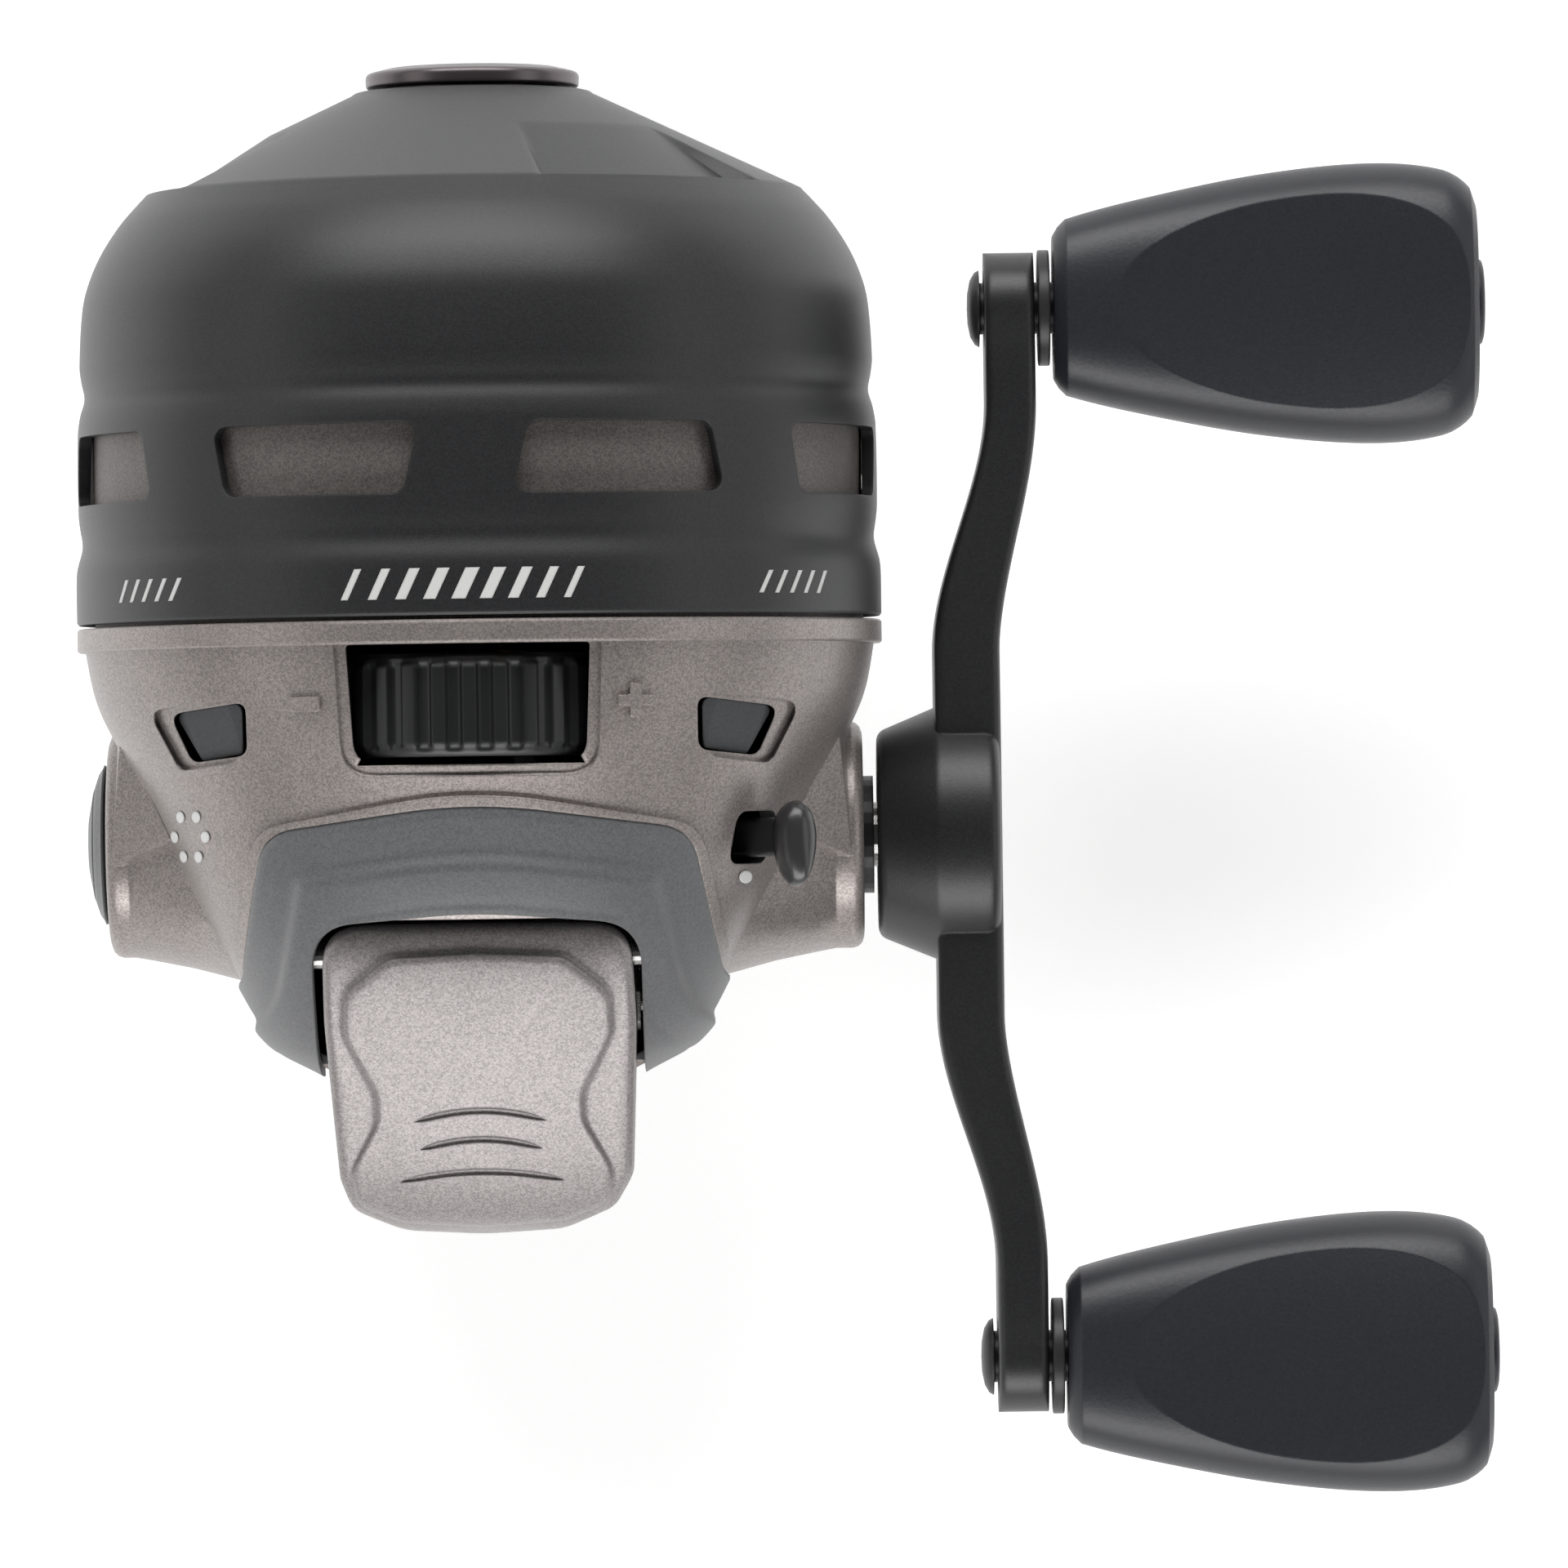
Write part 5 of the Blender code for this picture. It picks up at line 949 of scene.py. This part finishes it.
def make_knob(end_name, side):
    """A paddle knob with a big dished oval on both faces."""
    low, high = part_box("knob_" + end_name)
    length = high.x - low.x
    rings = []
    shares = [0.0, 0.004, 0.012, 0.03] + spread(0.06, 0.94, 60) + [0.96, 0.975, 0.987, 0.995, 1.0]
    for share in shares:
        wide = curve_at(KNOB_X, KNOB_WIDE, share) * 10.85
        thick = curve_at(KNOB_X, KNOB_THICK, share) * 7.0
        round_off = 0.0
        if share < 0.03:
            round_off = 0.5 * (1 - share / 0.03) ** 2
        ring = []
        for i in range(128):
            a = 2 * pi * i / 128
            c, s = cos(a), sin(a)
            y = (wide - round_off) * signed_power(c, 0.76)
            z = (thick - round_off) * signed_power(s, 0.66)
            ring.append(Vector((low.x + length * share, side * ARM_REACH + y * MM,
                                CRANK_Z + z * MM)))
        rings.append(ring)
    knob = loft("paddle_" + end_name, rings, KNOB_BLACK)
    for up in (1, -1):
        dish = []
        for k in range(1, 40):
            b = pi * k / 40
            dish.append([Vector((low.x + length * 0.555 + 24.0 * MM * cos(b),
                                 side * ARM_REACH + 20.0 * MM * sin(b) * cos(2 * pi * i / 80),
                                 CRANK_Z + up * 11.7 * MM
                                 + 6.9 * MM * sin(b) * sin(2 * pi * i / 80)))
                         for i in range(80)])
        boolean(knob, loft("dish", dish))
    boolean(knob, ring_prism("knob_bore", (0, side * ARM_REACH, CRANK_Z), 2.3 * MM,
                             low.x - 1 * MM, high.x - 4 * MM, "X"))
    body = end_name + "_knob"
    piece(knob, body, "knob_" + end_name, angle=24)
    low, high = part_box("knob_cap_" + end_name)
    face = low.x - 0.3 * MM
    profile = [(0, face - 0.6 * MM), (3.3, face - 0.6 * MM), (3.35, face + 0.3 * MM),
               (3.2, face + 0.5 * MM), (2.8, face + 0.62 * MM), (0, face + 0.7 * MM)]
    cap = turned("end_cap_" + end_name, radial(profile), KNOB_BLACK, "X",
                 (0, side * ARM_REACH, CRANK_Z), 72)
    piece(cap, body, "knob_cap_" + end_name, angle=50)


def make_knob_pin(end_name, side):
    """The riveted pin: a domed head on the arm and its shank inside the knob."""
    low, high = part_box("knob_pin_" + end_name)
    profile = [(0, low.x), (1.2, low.x + 0.05 * MM), (2.2, low.x + 0.25 * MM),
               (2.8, low.x + 0.6 * MM), (3.0, low.x + 0.95 * MM), (2.0, low.x + 1.0 * MM),
               (2.0, high.x), (0, high.x)]
    pin = turned("rivet_" + end_name, radial(profile), WASHER_DARK, "X",
                 (0, side * ARM_REACH, CRANK_Z), 72)
    piece(pin, "crank", "knob_pin_" + end_name, angle=40)
    low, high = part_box("knob_washer_" + end_name)
    profile = rounded([(2.3 * MM, low.x), (4.5 * MM, low.x), (4.5 * MM, high.x),
                       (2.3 * MM, high.x)], 0.15 * MM, 4)
    washer = turned("washer_" + end_name, profile, WASHER_DARK, "X",
                    (0, side * ARM_REACH, CRANK_Z), 96)
    piece(washer, "crank", "knob_washer_" + end_name, angle=40)


def make_side_cap():
    """The domed cap that closes the left crank boss."""
    low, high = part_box("side_cap")
    face = -29.3 * MM
    profile = [(0, low.x), (2.2, low.x + 0.12 * MM), (4.2, low.x + 0.5 * MM),
               (5.5, low.x + 0.95 * MM), (6.1, low.x + 1.35 * MM), (6.2, face - 0.15 * MM),
               (6.1, face), (4.9, face), (4.9, high.x), (0, high.x)]
    cap = turned("boss_cap", radial(profile), SOFT_GREY, "X", (0, 0, CRANK_Z), 128)
    groove = [(4.35, low.x - 1 * MM), (4.65, low.x - 1 * MM), (4.65, low.x + 0.75 * MM),
              (4.35, low.x + 0.75 * MM)]
    boolean(cap, turned("cap_groove", radial(groove), None, "X", (0, 0, CRANK_Z), 128))
    piece(cap, "housing", "side_cap", angle=40)


# ---------------------------------------------------------------- dial and lever

def make_dial():
    """The drag dial: thirty round-ended ribs between two plain edges."""
    low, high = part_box("drag_dial")
    rings = []
    ribs = 30
    count = ribs * 14
    for t in spread(0.0, 1.0, 33):
        y = low.y + (high.y - low.y) * t
        edge = min(t, 1 - t) * (high.y - low.y) / MM
        chamfer = 0.35 * (1 - ease(0.0, 0.35, edge))
        reach = ease(0.55, 1.0, edge)
        ring = []
        for i in range(count):
            a = 2 * pi * i / count
            wave = cos(ribs * a)
            rib = ease(-0.45, 0.25, wave)
            r = 10.72 + 0.53 * rib * reach + 0.25 * (1 - reach) - chamfer
            ring.append(Vector((r * MM * sin(a), y, DIAL_Z + r * MM * cos(a))))
        rings.append(ring)
    dial = loft("dial_wheel", rings, GLOSS_BLACK)
    boolean(dial, ring_prism("dial_bore", (0, 0, DIAL_Z), 2.1 * MM, low.y - MM,
                             high.y + MM, "Y"))
    piece(dial, "dial", "drag_dial", angle=40)


def make_lever():
    """The anti-reverse lever: a teardrop thumb piece on its stem."""
    place = Matrix.Translation(LEVER_PIVOT) @ Matrix.Rotation(LEVER_LEAN, 4, "Y")
    rings = []
    for rise, wide, long in ((-1.1, 0.55, 0.50), (-0.98, 0.85, 0.74), (-0.7, 1.05, 0.90),
                             (-0.25, 1.12, 0.99), (0.3, 1.10, 1.02), (0.9, 0.98, 0.94),
                             (1.4, 0.72, 0.78), (1.65, 0.42, 0.5), (1.74, 0.12, 0.15)):
        ring = []
        for i in range(64):
            a = 2 * pi * i / 64
            taper = 1.0 - 0.34 * (0.5 - 0.5 * sin(a))
            ring.append(place @ Vector((1.72 * wide * cos(a) * taper * MM,
                                        (-0.5 + 3.2 * long * sin(a)) * MM,
                                        13.7 * MM + rise * MM)))
        rings.append(ring)
    lever = loft("lever_thumb", rings, LEVER_BLACK)
    outline = rounded(rectangle(0.9 * MM, 1.5 * MM), 0.5 * MM, 5)
    boolean(lever, prism("stem", outline, 0.0, 13 * MM, place), "UNION")
    boolean(lever, ring_prism("lever_hub", LEVER_PIVOT, 1.5 * MM, -1.5 * MM, 1.5 * MM, "Y", 48),
            "UNION")
    piece(lever, "lever", "anti_reverse_lever", angle=40)


# ---------------------------------------------------------------- marks and foot

def surface_mark(name, outline, low, high, material=TITANIUM):
    """A flat mark that follows the housing's surface, seen from above."""
    skin = housing_loft(name, 15, -9, 50, high, material=material)
    boolean(skin, housing_loft("mark_core", 15.6, -10, 50, low))
    boolean(skin, prism("mark_plan", in_mm(outline), 40 * MM, 90 * MM), "INTERSECT")
    piece(skin, "housing")


def make_marks():
    """The minus and plus by the dial, the dot by the lever and the ring of dots."""
    surface_mark("mark_less", rounded([(-13.6, 9.85), (-11.2, 9.85), (-11.2, 11.0),
                                       (-13.6, 11.0)], 0.3, 5), -0.3, 0.3)
    arm, reach, x0, y0 = 0.42, 1.3, 12.35, 10.4
    plus = [(-arm, -reach), (arm, -reach), (arm, -arm), (reach, -arm), (reach, arm),
            (arm, arm), (arm, reach), (-arm, reach), (-arm, arm), (-reach, arm),
            (-reach, -arm), (-arm, -arm)]
    surface_mark("mark_more", rounded([(x0 + x, y0 + y) for x, y in plus], 0.2, 4),
                 -0.3, 0.3)
    circle = [(cos(2 * pi * i / 28), sin(2 * pi * i / 28)) for i in range(28)]
    surface_mark("dot_locked", [(20.3 + 0.5 * x, -3.0 + 0.5 * y) for x, y in circle],
                 -0.15, 0.07, PRINT_WHITE)
    for k in range(6):
        a = 2 * pi * k / 6
        at = (-21.9 + 1.35 * cos(a), 0.6 + 1.75 * sin(a))
        surface_mark("ball_dot_%d" % (k + 1),
                     [(at[0] + 0.36 * x, at[1] + 0.45 * y) for x, y in circle],
                     -0.15, 0.07, PRINT_WHITE)


def make_foot():
    """The reel foot: tapered tips, rounded plan and a raised pad for the pedestal."""
    rings = []
    half = 28.0
    for y in spread(-half, half, 113):
        away = abs(y)
        width = 6.35
        if away > half - 3.4:
            lean = away - (half - 3.4)
            width = 6.35 - 3.4 + max(0.02, (3.4 ** 2 - lean ** 2)) ** 0.5
        thick = 2.6 - 1.4 * ease(12.8, half, away) ** 0.9
        round_over = min(0.55, thick * 0.4)
        outline = rounded([(-width, 0.0), (width, 0.0), (width, thick), (-width, thick)],
                          [0.25, 0.25, round_over, round_over], 6)
        rings.append([Vector((x * MM, y * MM, z * MM)) for x, z in outline])
    foot = loft("foot_plate", rings, FOOT_PAINT)
    pad = []
    for z, half_x, half_y in ((1.0, 6.0, 13.9), (2.6, 5.8, 13.5), (3.0, 5.65, 13.0),
                              (4.0, 5.52, 12.65), (6.3, 5.5, 12.5), (6.5, 5.42, 12.42),
                              (6.6, 5.25, 12.25)):
        pad.append(square_ring(half_x, half_y, z))
    boolean(foot, loft("foot_pad", pad), "UNION")
    for y in (-7.5 * MM, 7.5 * MM):
        boolean(foot, ring_prism("screw_way", (0, y, 0), 1.5 * MM, -1 * MM, 8 * MM, "Z"))
        boolean(foot, ring_prism("screw_sink", (0, y, 0), 2.8 * MM, -1 * MM, 1.9 * MM, "Z"))
    piece(foot, "housing", "reel_foot", angle=35)


make_cover()
make_nose_ring()
make_band_marks()
make_collar()
make_housing()
make_rear_cover()
make_rim()
make_marks()
make_button()
make_arm()
make_handle_screw()
for end_name, side in (("front", 1), ("rear", -1)):
    make_knob(end_name, side)
    make_knob_pin(end_name, side)
make_side_cap()
make_dial()
make_lever()
make_foot()

for name, obj in frame["nodes"].items():
    if obj.hide_render:
        continue
    material = BY_SLOT.get(SLOT_OF.get(name), STEEL)
    if name in ("shaft_collar", "drag_screw"):
        material = WASHER_DARK
    obj.data.materials.clear()
    obj.data.materials.append(material)


# ---------------------------------------------------------------- floor, light, camera

def area_light(name, at, aim, size, power, colour=(1.0, 1.0, 1.0)):
    data = bpy.data.lights.new(name, "AREA")
    data.shape = "RECTANGLE"
    data.size, data.size_y = size
    data.energy = power
    data.color = colour
    light = in_scene(bpy.data.objects.new(name, data))
    light.location = at
    way = Vector(aim) - Vector(at)
    light.rotation_euler = way.to_track_quat("-Z", "Y").to_euler()


floor = new_object("floor", [(-3, -3, 0), (3, -3, 0), (3, 3, 0), (-3, 3, 0)], [(0, 1, 2, 3)],
                   FLOOR)
glow = FLOOR.node_tree.nodes["Principled BSDF"]
glow.inputs["Emission Color"].default_value = (1.0, 1.0, 1.0, 1.0)
glow.inputs["Emission Strength"].default_value = 0.36
middle = (0.02, 0.0, 0.04)
area_light("light_front", (0.0, 0.60, 0.40), middle, (0.9, 0.35), 5.4)
area_light("light_rear", (0.0, -0.60, 0.40), middle, (0.9, 0.35), 5.0)
area_light("light_left", (-0.62, 0.0, 0.36), middle, (0.9, 0.3), 0.9)
area_light("light_right", (0.66, 0.0, 0.36), middle, (0.9, 0.3), 0.9)
world = bpy.data.worlds.new("studio")
world.use_nodes = True
world.node_tree.nodes["Background"].inputs["Color"].default_value = (1.0, 1.0, 1.0, 1.0)
world.node_tree.nodes["Background"].inputs["Strength"].default_value = 0.09
bpy.context.scene.world = world
bpy.context.scene.view_settings.view_transform = "Standard"

camera_data = bpy.data.cameras.new("camera")
camera_data.sensor_width = 36.0
distance = 0.80
view_width = 0.121
camera_data.lens = camera_data.sensor_width * distance / view_width
camera_data.clip_start = 0.01
camera_data.clip_end = 10.0
camera = in_scene(bpy.data.objects.new("camera", camera_data))
camera.location = (23.3 * MM, 4.0 * MM, REEL_Z + distance)
camera.rotation_euler = (0.0, 0.0, radians(-0.8))
bpy.context.scene.camera = camera
